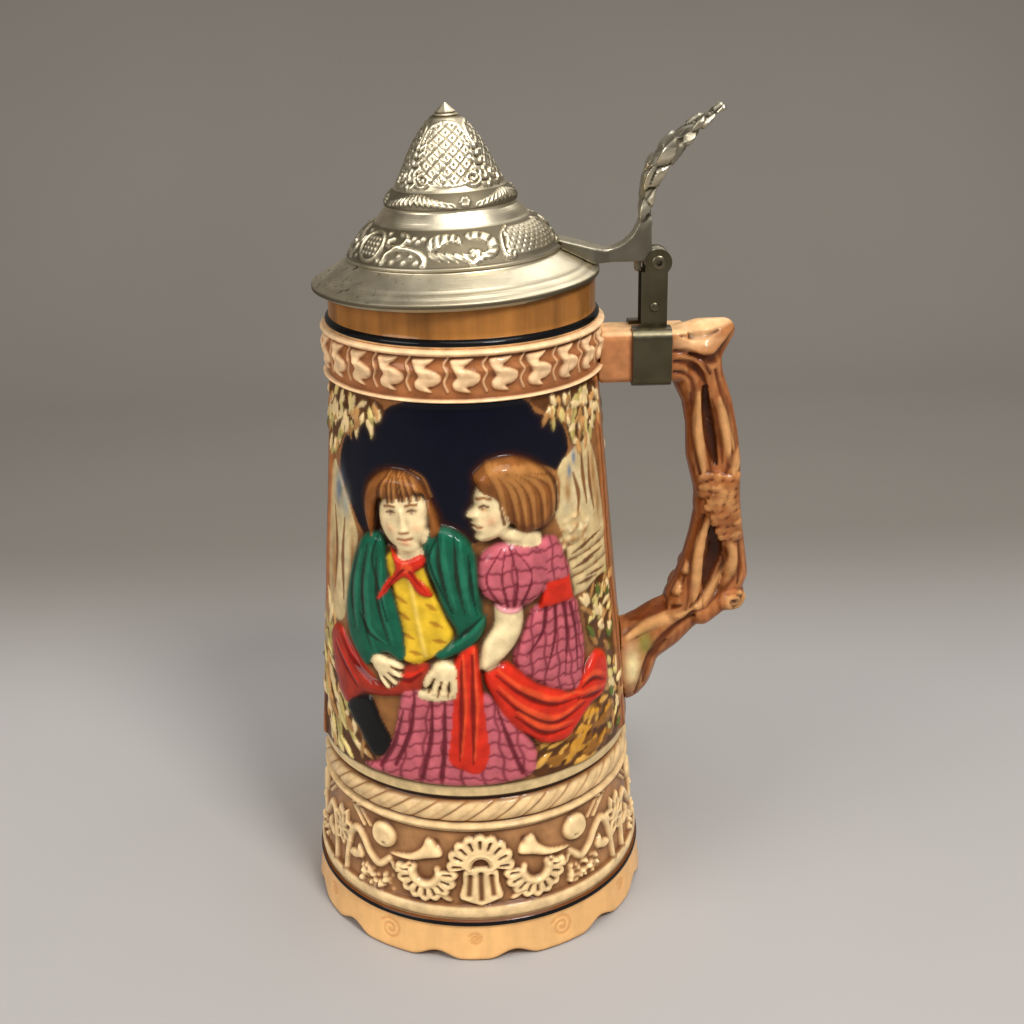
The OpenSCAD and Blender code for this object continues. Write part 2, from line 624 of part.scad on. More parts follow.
rivet_head_h = 0.7;
module neck_rivet() {
    color("gray") rivet(rivet_x, rivet_z, rivet_r, rivet_head_r, rivet_head_h);
}

// Spacer tube that keeps the cheeks apart on the neck rivet
module neck_spacer() {
    color("slategray") translate([rivet_x, 0, rivet_z]) rotate([90, 0, 0]) difference() {
        cylinder(r = spacer_r, h = cheek_gap - pin_clear, center = true);
        cylinder(r = rivet_r + pin_clear, h = 2 * cheek_gap, center = true);
    }
}

// Thumb lever, measured from the hinge pin: the curve of the thumb piece and half its thickness.
// The curve leaves its root straight up and reaches its tip along tip_pull.
sweep_x = -16;
arm_z = 0.2;
root_t = 1.6;
tip_t = 0.7;
swell_t = 1.5;
root_pull = [0, 10];
tip_pull = [16.2, 10.4];
root = [sweep_x + sweep_r + thumb_thick(0), arm_z + arm_t + sweep_r];
tip = [thumb_reach, thumb_h];
function thumb_line(t) = pow(1 - t, 3) * root + 3 * t * pow(1 - t, 2) * (root + root_pull)
    + 3 * t * t * (1 - t) * (tip - tip_pull) + pow(t, 3) * tip;
function thumb_thick(t) = root_t * (1 - t) + tip_t * t + swell_t * pow(sin(180 * t), 2);
function thumb_side(t, side) =
    let (d = thumb_line(t + 0.01) - thumb_line(t - 0.01), n = [-d[1], d[0]] / norm(d))
    thumb_line(t) + side * thumb_thick(t) * n;
thumb_steps = 12;

// Side of the lever: tang on the lid, arm, sweep, thumb piece, and the web down to the knuckle
tang_start = ridge_r - lid_shift - hinge_x - 1;
tang_end = lid_r - lid_shift - hinge_x;
module lever_side() {
    polygon(concat(
        [[tang_start, arm_z], [tang_start, arm_z + 2 * arm_t]],
        arc([sweep_x, root[1]], sweep_r, -90, 0),
        [for (i = [1:thumb_steps]) thumb_side(i / thumb_steps, 1)],
        [for (i = [thumb_steps:-1:0]) thumb_side(i / thumb_steps, -1)],
        [[-knuckle_r / 2, knuckle_r], [0, 0], [-knuckle_r, arm_z], [tang_end - 2, arm_z]]
    ));
    circle(r = knuckle_r);
}

// Outline of the thumb piece seen from the mug: a leaf that is narrow at its root
leaf_low = 14;
module thumb_leaf() {
    w = knuckle_w / 2;
    edge = [for (i = [0:10]) let (t = i / 10)
        [w + (thumb_half - w) * sin(180 * pow(t, 1.4)), leaf_low + (thumb_h + 2 - leaf_low) * t]];
    polygon(concat(
        [[-w, -knuckle_r], [w, -knuckle_r]],
        edge,
        [for (i = [10:-1:0]) [-edge[i][0], edge[i][1]]]
    ));
}

// Outline of the arm and tang seen from above: it spreads where it lies on the brim
module tang_plan() {
    w = knuckle_w / 2;
    polygon([[tang_start, -tang_half], [tang_end - 2, -tang_half], [tang_end + 3, -w], [-knuckle_r - 2, -w],
             [-knuckle_r - 2, w], [tang_end + 3, w], [tang_end - 2, tang_half], [tang_start, tang_half]]);
}

// Small lug under the arm that meets the cheeks' shoulders
lug_w = 4;
lug_h = 3.2;
module lever_lug() {
    translate([-knuckle_r - 3, -lug_w / 2, arm_z - lug_h]) cube([2, lug_w, lug_h + arm_t / 2]);
}

module thumb_lever() {
    color("silver") difference() {
        translate([hinge_x, 0, hinge_z]) difference() {
            union() {
                intersection() {
                    rotate([90, 0, 0]) linear_extrude(4 * thumb_half, center = true) lever_side();
                    union() {
                        translate([-2 * knuckle_r, 0, 0]) rotate([90, 0, 90])
                            linear_extrude(thumb_reach + 3 * knuckle_r) thumb_leaf();
                        linear_extrude(4 * arm_t, center = true) tang_plan();
                    }
                }
                lever_lug();
            }
            rotate([90, 0, 0]) cylinder(r = pin_r + pin_clear, h = 2 * knuckle_w, center = true);
        }
        on_mug() rotate_extrude() polygon(concat(
            [[0, -edge_h], [lid_r + solder_gap, -edge_h]],
            lid_top(solder_gap),
            [[0, z_crown]]
        ));
    }
}

mug_body();
handle();
lid_shell();
lid_finial();
thumb_lever();
hinge_strap();
hinge_pin();
neck_rivet();
neck_spacer();
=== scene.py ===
# %% [markdown]
# # A lidded beer stein
# The stein is a slip-cast ceramic mug with a moulded and hand-painted relief, a handle in the form of
# twisted branches, and a cone-shaped metal lid on a thumb lever. The solids from the CAD step give
# every size. This lesson dresses them: most of the mug is relief, so the main tool is a grid of heights
# over the unrolled wall, which is then rolled up again.

# %% Load the frame
import math

import bmesh
import bpy
import numpy as np
from mathutils import Matrix, Vector


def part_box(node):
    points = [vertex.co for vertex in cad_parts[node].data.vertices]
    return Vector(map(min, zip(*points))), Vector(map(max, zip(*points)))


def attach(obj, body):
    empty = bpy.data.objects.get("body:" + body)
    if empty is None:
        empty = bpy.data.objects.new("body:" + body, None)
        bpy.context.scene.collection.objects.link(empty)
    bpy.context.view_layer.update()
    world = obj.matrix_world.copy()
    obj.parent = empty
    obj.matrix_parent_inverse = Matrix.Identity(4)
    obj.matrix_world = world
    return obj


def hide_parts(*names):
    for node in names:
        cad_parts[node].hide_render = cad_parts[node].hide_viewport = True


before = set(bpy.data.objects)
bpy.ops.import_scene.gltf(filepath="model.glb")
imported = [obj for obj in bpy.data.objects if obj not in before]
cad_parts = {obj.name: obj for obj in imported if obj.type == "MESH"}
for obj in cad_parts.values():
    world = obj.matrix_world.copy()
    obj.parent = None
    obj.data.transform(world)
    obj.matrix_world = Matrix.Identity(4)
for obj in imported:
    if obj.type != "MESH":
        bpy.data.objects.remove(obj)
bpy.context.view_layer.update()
MM = 0.001

# %% [markdown]
# ## The wall of the mug
# The bands of relief must sit on the wall that the CAD model has. Instead of typing the wall again, we
# read it from the mesh of the mug: every face that looks away from the axis is part of the outside, and
# a height with corners all round the axis is a ring of the wall. The corners of the raised figures lie on
# one side only and are passed over, and so are the notches of the foot, whose radius closes the list.

# %% Read the outside of a turned node
SECTORS = 36


def outside_profile(node, lowest, place=Matrix()):
    """Heights of a turned node's outer rings and their radii, in millimetres about the axis of place."""
    back = place.inverted()
    found = {}
    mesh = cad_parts[node].data
    for face in mesh.polygons:
        corners = [back @ mesh.vertices[i].co / MM for i in face.vertices]
        normal = back.to_3x3() @ face.normal
        middle = sum(corners, Vector()) / len(corners)
        if normal.x * middle.x + normal.y * middle.y <= 0.02 * middle.xy.length:
            continue
        for corner in corners:
            if corner.z >= lowest:
                sector = round(SECTORS * math.atan2(corner.y, corner.x) / (2 * math.pi)) % SECTORS
                found.setdefault(round(corner.z, 2), []).append((corner.xy.length, sector))
    heights = sorted(h for h, at in found.items() if len({sector for _, sector in at}) > 0.8 * SECTORS)
    return np.array(heights), np.array([np.median([r for r, _ in found[h]]) for h in heights])


NOTCH_TOP = 3.0
foot_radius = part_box("mug_body")[1].y / MM
ring_heights, ring_radii = outside_profile("mug_body", NOTCH_TOP)
ring_heights = np.append(0, ring_heights)
ring_radii = np.append(foot_radius, ring_radii)


def wall_radius(z):
    """Radius of the wall at a height."""
    return np.interp(z, ring_heights, ring_radii)


rim_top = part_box("mug_body")[1].z / MM
print("rings read:", len(ring_heights), "foot", round(foot_radius, 2), "rim at", round(rim_top, 2))

# %% [markdown]
# ## Curves and distances
# A relief is drawn with outlines and paths of a few points. A Catmull-Rom curve through the points gives
# the round forms. To give a shape a soft edge we need, for each grid point, how deep it lies inside the
# outline, and for a ridge, how far it lies from the path and how far along.

# %% Smooth curves
def curve(points, closed=False, steps=6):
    """Points of a smooth curve through the given ones."""
    p = np.array(points, float)
    p = np.vstack([p[-1], p, p[:2]]) if closed else np.vstack([2 * p[0] - p[1], p, 2 * p[-1] - p[-2]])
    t = np.arange(steps)[:, None] / steps
    runs = []
    for a, b, c, d in zip(p, p[1:], p[2:], p[3:]):
        runs.append(b + t * (c - a) / 2 + t ** 2 * (2 * a - 5 * b + 4 * c - d) / 2
                    + t ** 3 * (3 * b - a - 3 * c + d) / 2)
    return np.vstack(runs if closed else runs + [p[-2][None]])


def inside_depth(u, z, outline):
    """Distance of each point to a closed outline, positive inside it."""
    nearest = np.full(u.shape, np.inf)
    inside = np.zeros(u.shape, bool)
    for (au, az), (bu, bz) in zip(outline, np.roll(outline, -1, axis=0)):
        du, dz = bu - au, bz - az
        t = np.clip(((u - au) * du + (z - az) * dz) / (du * du + dz * dz + 1e-12), 0, 1)
        nearest = np.minimum(nearest, (u - au - t * du) ** 2 + (z - az - t * dz) ** 2)
        if dz:
            inside ^= ((az > z) != (bz > z)) & (u < au + (z - az) * du / dz)
    return np.where(inside, 1, -1) * np.sqrt(nearest)


def path_distance(u, z, path):
    """Distance of each point to an open path, and how far along the path its nearest point is, 0 to 1."""
    nearest = np.full(u.shape, np.inf)
    along = np.zeros(u.shape)
    lengths = np.hypot(*np.diff(path, axis=0).T)
    start = np.append(0, np.cumsum(lengths)) / lengths.sum()
    for (au, az), (bu, bz), s0, s1 in zip(path, path[1:], start, start[1:]):
        du, dz = bu - au, bz - az
        t = np.clip(((u - au) * du + (z - az) * dz) / (du * du + dz * dz + 1e-12), 0, 1)
        d = (u - au - t * du) ** 2 + (z - az - t * dz) ** 2
        along = np.where(d < nearest, s0 + t * (s1 - s0), along)
        nearest = np.minimum(nearest, d)
    return np.sqrt(nearest), along


def ellipse(centre, half_u, half_z, turn=0):
    """Outline of an ellipse, turned by an angle in degrees."""
    a = np.linspace(0, 2 * np.pi, 24, endpoint=False)
    c, s = math.cos(math.radians(turn)), math.sin(math.radians(turn))
    x, y = half_u * np.cos(a), half_z * np.sin(a)
    return np.stack([centre[0] + c * x - s * y, centre[1] + s * x + c * y], -1)


def spiral(centre, radius, turns, start, hand=1):
    """Path of a spiral that winds in from its radius, starting at an angle in degrees."""
    t = np.linspace(0, 1, int(14 * turns) + 2)
    a = math.radians(start) + hand * 2 * np.pi * turns * t
    r = radius * (1 - 0.88 * t)
    return np.stack([centre[0] + r * np.cos(a), centre[1] + r * np.sin(a)], -1)


def blade(start, angle, length, width, bend=0.0):
    """Outline of a pointed leaf from its foot, at an angle in degrees, bent by a share of its length."""
    t = np.linspace(0, 1, 7)
    half = width / 2 * np.sin(np.pi * t ** 0.8)
    side = bend * length * np.sin(np.pi * t / 2) ** 2
    x = np.concatenate([t * length, t[-2:0:-1] * length])
    y = np.concatenate([side + half, (side - half)[-2:0:-1]])
    a = math.radians(angle)
    return np.stack([start[0] + x * math.cos(a) - y * math.sin(a),
                     start[1] + x * math.sin(a) + y * math.cos(a)], -1)


print("a smooth ring of 4 points has", len(curve([(0, 0), (1, 0), (1, 1), (0, 1)], True)), "points")

# %% [markdown]
# ## A grid of heights and paint
# Colours are written as a screen shows them and turned into the linear values that shaders take. The
# `Relief` holds, for each grid point, its place on the unrolled wall, its height above the wall and its
# paint. `stamp` lays a shape with a rounded edge, `ridge` draws a rounded line or a groove, `lump` adds a
# soft bump. A pattern that repeats is stamped again one period to either side, so its edges match.

# %% Colours
def paint(r, g, b):
    """Linear values of a colour that is given as a screen shows it."""
    c = np.array([r, g, b]) / 255
    return np.where(c <= 0.04045, c / 12.92, ((c + 0.055) / 1.055) ** 2.4)


CREAM = paint(240, 208, 150)
BROWN = paint(112, 64, 30)
DARK = paint(46, 22, 9)
print("cream in linear light:", np.round(CREAM, 3))


# %% The relief grid
class Relief:
    """Heights in millimetres and paint over a grid of the unrolled wall: u runs round it and z up it."""

    def __init__(self, u, z, colour, period=0.0, wrap=True):
        self.u, self.z = np.broadcast_arrays(np.asarray(u, float), np.asarray(z, float))
        self.h = np.zeros(self.u.shape)
        self.colour = np.ones(self.u.shape + (1,)) * colour
        self.shifts = (-period, 0, period) if period else (0,)
        self.wrap = wrap

    def near(self, points, reach):
        """Grid points in the box round a shape, for each place where it repeats."""
        for shift in self.shifts:
            p = np.asarray(points, float) + [shift, 0]
            low, high = p.min(0) - reach, p.max(0) + reach
            wide = (self.u > low[0]) & (self.u < high[0])
            spot = np.nonzero(wide & (self.z > low[1]) & (self.z < high[1]))
            if len(spot[0]):
                yield p, spot

    def stamp(self, outline, level, colour=None, edge=1.2, crown=0.0):
        """Lays a shape at a level, domed by crown, with its edge rounded down to what is below."""
        for p, spot in self.near(outline, 0):
            depth = inside_depth(self.u[spot], self.z[spot], p)
            on = depth > 0
            if not on.any():
                continue
            rise = np.sqrt(1 - (1 - np.clip(depth / edge, 0, 1)) ** 2)
            dome = np.sqrt(1 - (1 - np.clip(depth / depth.max(), 0, 1)) ** 2)
            below = self.h[spot]
            self.h[spot] = np.where(on, below + (level + crown * dome - below) * rise, below)
            if colour is not None:
                self.colour[spot] = np.where(on[:, None], colour, self.colour[spot])

    def ridge(self, path, width, height, colour=None, taper=(1, 1)):
        """Draws a round line of a half width along a path, or a groove where the height is negative."""
        for p, spot in self.near(path, width):
            d, along = path_distance(self.u[spot], self.z[spot], p)
            half = width * np.interp(along, np.linspace(0, 1, len(taper)), taper)
            swell = np.clip(1 - (d / np.maximum(half, 1e-6)) ** 2, 0, 1)
            self.h[spot] += height * swell
            if colour is not None:
                share = np.clip(1.6 * swell, 0, 1)[:, None]
                self.colour[spot] = self.colour[spot] * (1 - share) + colour * share

    def lump(self, centre, half_u, half_z, height, colour=None):
        """Adds a soft bump, or a hollow where the height is negative."""
        reach = 2 * max(half_u, half_z)
        for p, spot in self.near([centre], reach):
            q = ((self.u[spot] - p[0, 0]) / half_u) ** 2 + ((self.z[spot] - p[0, 1]) / half_z) ** 2
            swell = np.exp(-1.5 * q)
            self.h[spot] += height * swell
            if colour is not None:
                self.colour[spot] += (colour - self.colour[spot]) * swell[:, None]

    def shade(self, low, high, dark, light):
        """Stains the grid by height: dark below low, light above high."""
        t = np.clip((self.h - low) / (high - low), 0, 1)
        t = (t * t * (3 - 2 * t))[..., None]
        self.colour = dark * (1 - t) + light * t

    def wash(self, reach, strength, dark):
        """Leaves a dark wash in the hollows, as a potter does, and a painted highlight on the ridges."""
        hollow = blur(self.h, reach, self.wrap) - self.h
        share = np.clip(hollow * strength, 0, 0.85)[..., None]
        self.colour = self.colour * (1 - share) + dark * share
        # Ridges are made a little lighter than their paint: a painted highlight.
        lit = np.clip(-hollow * strength * 0.3, 0, 0.3)[..., None]
        self.colour = self.colour * (1 + 0.25 * lit)


def blur(field, reach, wrap=True):
    """Averages a grid over reach cells each way, twice, and round its seam in u where it has none."""
    width = 2 * reach + 1
    for axis, mode in ((0, "edge"), (1, "wrap" if wrap else "edge")):
        for _ in range(2):
            pad = [(reach, reach) if a == axis else (0, 0) for a in (0, 1)]
            total = np.cumsum(np.pad(field, pad, mode=mode), axis=axis)
            total = np.insert(total, 0, 0, axis=axis)
            n = field.shape[axis]
            field = (np.take(total, range(width, width + n), axis) - np.take(total, range(n), axis)) / width
    return field


print("strokes of a relief: stamp, ridge, lump, shade and wash")

# %% [markdown]
# ## From a grid to a slab
# A band of the mug is a curved slab: the relief outside, a plain back hidden in the wall, and a top and a
# bottom edge. Its rows form a loop, so that the slab is closed. A band that repeats round the mug is
# built once as a sector, left open at its two sides. A Geometry Nodes tree then turns copies of it about
# the axis, welds them and gives them their material.

# %% Mesh helpers
BACK_DEPTH = 2.2


def store(mesh, key, values):
    """Keeps a value or a colour for each vertex of a mesh."""
    values = np.asarray(values, np.float32)
    if values.ndim == 1:
        mesh.attributes.new(key, "FLOAT", "POINT").data.foreach_set("value", values)
    else:
        data = mesh.attributes.new(key, "FLOAT_COLOR", "POINT").data
        data.foreach_set("color", np.hstack([values, np.ones((len(values), 1), np.float32)]).ravel())


def finish_mesh(name, vertices, faces, attributes, smooth=True):
    """Makes an object from vertices in millimetres and faces, with values stored at its vertices."""
    mesh = bpy.data.meshes.new(name)
    mesh.from_pydata((np.asarray(vertices) * MM).tolist(), [], faces)
    for key, values in attributes.items():
        store(mesh, key, values)
    mesh.polygons.foreach_set("use_smooth", [smooth] * len(mesh.polygons))
    mesh.update()
    made = bpy.data.objects.new(name, mesh)
    bpy.context.scene.collection.objects.link(made)
    return made


def grid_faces(rows, columns, loop_rows, loop_columns):
    """Quads between rows and columns of a grid, closed up where asked."""
    i = np.arange(rows if loop_rows else rows - 1)[:, None]
    j = np.arange(columns if loop_columns else columns - 1)[None, :]
    a, b = i * columns, (i + 1) % rows * columns
    k = (j + 1) % columns
    return np.stack([a + j, a + k, b + k, b + j], -1).reshape(-1, 4).tolist()


def slab(name, relief, radius, unrolled_at, ends=False, pull=0.0):
    """Rolls a relief up into a curved slab on radius(z). With a pull, raised parts lean to the front."""
    turn = relief.u / unrolled_at
    r = radius(relief.z)
    off_front = (turn + np.pi) % (2 * np.pi) - np.pi
    lean = pull * off_front * np.clip((1.5 - np.abs(off_front)) / 0.4, 0, 1)
    x = r * np.sin(turn) + relief.h * np.sin(turn - lean)
    y = -r * np.cos(turn) - relief.h * np.cos(turn - lean)
    outer = np.stack([x, y, relief.z], -1)
    edge_z, edge_turn = relief.z[[-1, 0]], turn[[-1, 0]]
    edge_r = radius(edge_z) - BACK_DEPTH
    inner = np.stack([edge_r * np.sin(edge_turn), -edge_r * np.cos(edge_turn), edge_z], -1)
    points = np.concatenate([outer, inner])
    colour = np.concatenate([relief.colour, relief.colour[[-1, 0]]])
    rows, columns = points.shape[:2]
    faces = grid_faces(rows, columns, True, False)
    if ends:
        first = np.arange(rows) * columns
        faces += [first.tolist(), (first[::-1] + columns - 1).tolist()]
    return finish_mesh(name, points.reshape(-1, 3), faces, {"paint": colour.reshape(-1, 3)})


def closed_rings(rings, first, last):
    """Points and faces of rings one above the other, closed by a pole at either end."""
    n, steps = rings.shape[:2]
    points = np.vstack([rings.reshape(-1, 3), first, last])
    faces = grid_faces(n, steps, False, True)
    pole, top = n * steps, (n - 1) * steps
    faces += [[pole, (j + 1) % steps, j] for j in range(steps)]
    faces += [[pole + 1, top + j, top + (j + 1) % steps] for j in range(steps)]
    return points, faces


def lathe(name, profile, steps, colours):
    """Turns a closed profile, from the axis and back to it, about Z. Each ring has its paint."""
    a = np.linspace(0, 2 * np.pi, steps, endpoint=False)
    p = np.array(profile, float)
    rings = np.stack([p[1:-1, :1] * np.cos(a), p[1:-1, :1] * np.sin(a), p[1:-1, 1:] + 0 * a], -1)
    points, faces = closed_rings(rings, [0, 0, p[0, 1]], [0, 0, p[-1, 1]])
    tone = np.array(colours, float)
    tone = np.vstack([np.repeat(tone[1:-1], steps, axis=0), tone[0], tone[-1]])
    return finish_mesh(name, points, faces, {"paint": tone})


print("the back of a slab lies", BACK_DEPTH, "mm inside the wall")

# %% A tree that repeats a sector round the axis
def set_inputs(tree, node, values):
    """Sets inputs of a node from a list of (name, value or socket)."""
    for key, value in values:
        if isinstance(value, bpy.types.NodeSocket):
            tree.links.new(value, node.inputs[key])
        else:
            node.inputs[key].default_value = value


def add_node(tree, kind, values=(), **settings):
    """Adds a node and sets its properties and its inputs."""
    made = tree.nodes.new(kind)
    for key, value in settings.items():
        setattr(made, key, value)
    set_inputs(tree, made, values)
    return made


def ring_tree():
    """Geometry Nodes: copies the mesh Count times about Z, welds the copies and sets their material."""
    tree = bpy.data.node_groups.new("ring_of_sectors", "GeometryNodeTree")
    sockets = tree.interface
    sockets.new_socket("Sector", in_out="INPUT", socket_type="NodeSocketGeometry")
    named = {key: sockets.new_socket(key, in_out="INPUT", socket_type=kind).identifier
             for key, kind in (("Count", "NodeSocketInt"), ("Weld", "NodeSocketFloat"),
                               ("Finish", "NodeSocketMaterial"))}
    sockets.new_socket("Ring", in_out="OUTPUT", socket_type="NodeSocketGeometry")
    given = add_node(tree, "NodeGroupInput").outputs
    points = add_node(tree, "GeometryNodePoints", [("Count", given["Count"])]).outputs[0]
    index = add_node(tree, "GeometryNodeInputIndex").outputs[0]
    step = add_node(tree, "ShaderNodeMath", [(0, 2 * math.pi), (1, given["Count"])],
                    operation="DIVIDE").outputs[0]
    turn = add_node(tree, "ShaderNodeMath", [(0, step), (1, index)], operation="MULTIPLY").outputs[0]
    spin = add_node(tree, "ShaderNodeCombineXYZ", [("Z", turn)]).outputs[0]
    copies = add_node(tree, "GeometryNodeInstanceOnPoints",
                      [("Points", points), ("Instance", given["Sector"]), ("Rotation", spin)])
    real = add_node(tree, "GeometryNodeRealizeInstances", [(0, copies.outputs[0])])
    weld = add_node(tree, "GeometryNodeMergeByDistance",
                    [("Geometry", real.outputs[0]), ("Distance", given["Weld"])])
    coat = add_node(tree, "GeometryNodeSetMaterial",
                    [("Geometry", weld.outputs[0]), ("Material", given["Finish"])])
    add_node(tree, "NodeGroupOutput", [(0, coat.outputs[0])])
    return tree, named


RING, RING_INPUTS = ring_tree()


def baked(piece):
    """Replaces a piece's mesh by what its modifiers make of it, and removes the modifiers."""
    bpy.context.view_layer.update()
    shown = piece.evaluated_get(bpy.context.evaluated_depsgraph_get())
    mesh = bpy.data.meshes.new_from_object(shown)
    piece.modifiers.clear()
    piece.data = mesh
    return piece


def ring(sector, count, finish):
    """Repeats a sector round the axis with the tree above and keeps the plain mesh."""
    modifier = sector.modifiers.new("ring", "NODES")
    modifier.node_group = RING
    modifier[RING_INPUTS["Count"]] = count
    modifier[RING_INPUTS["Weld"]] = 0.00001
    modifier[RING_INPUTS["Finish"]] = finish
    made = baked(sector)
    print(f"{made.name}: {count} sectors, {len(made.data.polygons)} faces")
    return made


print("ring tree:", len(RING.nodes), "nodes, inputs", ", ".join(RING_INPUTS))

# %% [markdown]
# ## Glazes
# Every ceramic surface is paint under a clear glaze. The paint comes from the `paint` attribute; noise
# makes it pool and thin as brushed colour does; the coat gives the sharp highlights of the glaze. The
# plain bands have a lustre of long streaks down the wall, which come from the same noise squeezed along Z.

# %% Shader helpers and the glazes
def new_material(name):
    """A material with its node tree and its shader."""
    material = bpy.data.materials.new(name)
    material.use_nodes = True
    return material, material.node_tree, material.node_tree.nodes["Principled BSDF"]


def object_noise(tree, scale, stretch=(1, 1, 1), detail=4.0):
    """Noise over Object coordinates, squeezed or stretched along the axes."""
    place = add_node(tree, "ShaderNodeTexCoord")
    mapping = add_node(tree, "ShaderNodeMapping",
                       [("Vector", place.outputs["Object"]), ("Scale", stretch)])
    noise = add_node(tree, "ShaderNodeTexNoise",
                     [("Vector", mapping.outputs[0]), ("Scale", scale), ("Detail", detail)])
    return noise.outputs["Fac"]


def remap(tree, value, low, high, start=0.3, stop=0.7):
    """Spreads a noise value over a range."""
    made = add_node(tree, "ShaderNodeMapRange",
                    [("Value", value), ("From Min", start), ("From Max", stop),
                     ("To Min", low), ("To Max", high)])
    return made.outputs["Result"]


def attribute(tree, name, output="Fac"):
    """What is stored at the vertices under a name."""
    return add_node(tree, "ShaderNodeAttribute", attribute_name=name).outputs[output]


def multiply(tree, first, second):
    """One colour multiplied by another."""
    return add_node(tree, "ShaderNodeMix", [("Factor", 1.0), ("A", first), ("B", second)],
                    data_type="RGBA", blend_type="MULTIPLY").outputs["Result"]


def bump(tree, height, strength, distance):
    """A normal that follows a fine height."""
    made = add_node(tree, "ShaderNodeBump",
                    [("Strength", strength), ("Distance", distance), ("Height", height)])
    return made.outputs[0]


def glaze(name, streaks, pooling, gloss):
    """Paint under a clear glaze: streaks run down the wall, pooling varies the brushed colour."""
    material, tree, shader = new_material(name)
    brushed = remap(tree, object_noise(tree, 260), 1 - pooling, 1 + pooling)
    colour = multiply(tree, attribute(tree, "paint", "Color"), brushed)
    if streaks:
        run = remap(tree, object_noise(tree, 150, (1, 1, 0.06), 5.0), 1 - streaks, 1 + 0.4 * streaks)
        colour = multiply(tree, colour, run)
    rough = remap(tree, object_noise(tree, 90), gloss, gloss + 0.16)
    ripple = bump(tree, object_noise(tree, 700), 0.12, 0.0004)
    set_inputs(tree, shader, [("Base Color", colour), ("Roughness", rough), ("Normal", ripple),
                              ("Specular IOR Level", 0.06), ("Coat Weight", 0.28),
                              ("Coat Roughness", 0.04)])
    return material


relief_glaze = glaze("relief_glaze", 0.0, 0.2, 0.26)
lustre_glaze = glaze("lustre_glaze", 0.46, 0.06, 0.2)
foot_glaze = glaze("foot_glaze", 0.12, 0.05, 0.22)
print("glazes:", relief_glaze.name, lustre_glaze.name, foot_glaze.name)

# %% [markdown]
# ## The core and the plain rim
# Under the relief the mug is a plain turned wall: the rim band with its black line, the lip, the inside,
# the floor and the hollow under it. The core's outside runs a little below the wall, so that the bands
# of relief cover it. It steps out to the wall only at the rim.

# %% Turn the core
SKIRT_TOP, FRIEZE_TOP, ROPE_TOP, PANEL_TOP, SCROLL_TOP = 14.2, 44.2, 55.6, 177.0, 192.3
WALL, FLOOR, RECESS, SKIRT_WALL, CORNER = 4.5, 15.0, 9.0, 6.0, 8.0
LINE_LOW, LINE_TOP = 193.1, 194.9
BLACK = paint(16, 14, 13)
AMBER = paint(166, 108, 50)
PEACH = paint(246, 190, 122)
RIM_PEACH = paint(238, 200, 150)


def core_profile():
    """Points of the core's section with their paint, from under the floor round to the floor."""
    foot_in = foot_radius - SKIRT_WALL
    points = [(0, RECESS, PEACH), (foot_in - 1, RECESS, PEACH)]
    points += [(foot_in, 0, PEACH), (foot_in + 2, 0, PEACH)]
    for z in (4, SKIRT_TOP, FRIEZE_TOP, ROPE_TOP, 60, PANEL_TOP, SCROLL_TOP - 0.05):
        points.append((wall_radius(z) - 2, z, PEACH))
    for z in (SCROLL_TOP, LINE_LOW - 0.06):
        points.append((wall_radius(z), z, RIM_PEACH))
    for z in np.linspace(LINE_LOW, LINE_TOP, 6):
        points.append((wall_radius(z), z, BLACK))
    lip = WALL / 2
    rim_r = wall_radius(LINE_TOP + 1)
    for z in np.linspace(LINE_TOP + 0.06, rim_top - lip, 6):
        points.append((wall_radius(z), z, AMBER))
    for a in np.linspace(0, np.pi, 11)[1:]:
        points.append((rim_r - lip + lip * math.cos(a), rim_top - lip + lip * math.sin(a), AMBER))
    points += [(wall_radius(z) - WALL, z, AMBER) for z in (PANEL_TOP, 120, 60)]
    corner_r = wall_radius(FRIEZE_TOP) - WALL - CORNER
    for a in np.linspace(0, -np.pi / 2, 7):
        points.append((corner_r + CORNER * math.cos(a), FLOOR + CORNER + CORNER * math.sin(a), AMBER))
    return points + [(0, FLOOR, AMBER)]


profile = core_profile()
core = lathe("mug_core", [p[:2] for p in profile], 144, [p[2] for p in profile])
core.data.materials.append(lustre_glaze)
print("mug_core:", len(core.data.polygons), "faces")

# %% [markdown]
# ## The scalloped skirt
# The foot is a skirt with a small and a large scallop in turn, six of each. A spiral is pressed into each
# scallop. One sector holds one of each, from notch to notch. The rows near the table follow the notches,
# and the rows above are level, with a close pair of rows at each edge of the black line.

# %% Build the skirt sector
PAIRS, SMALL_LOBE, LOBE_TURN = 6, 26.0, -2.5
NOTCH_H, NOTCH_HALF, FOOT_UNROLL = 2.6, 8.6, 54.0
LEVEL_FROM = 4.5
LINE = (12.3, 13.6)


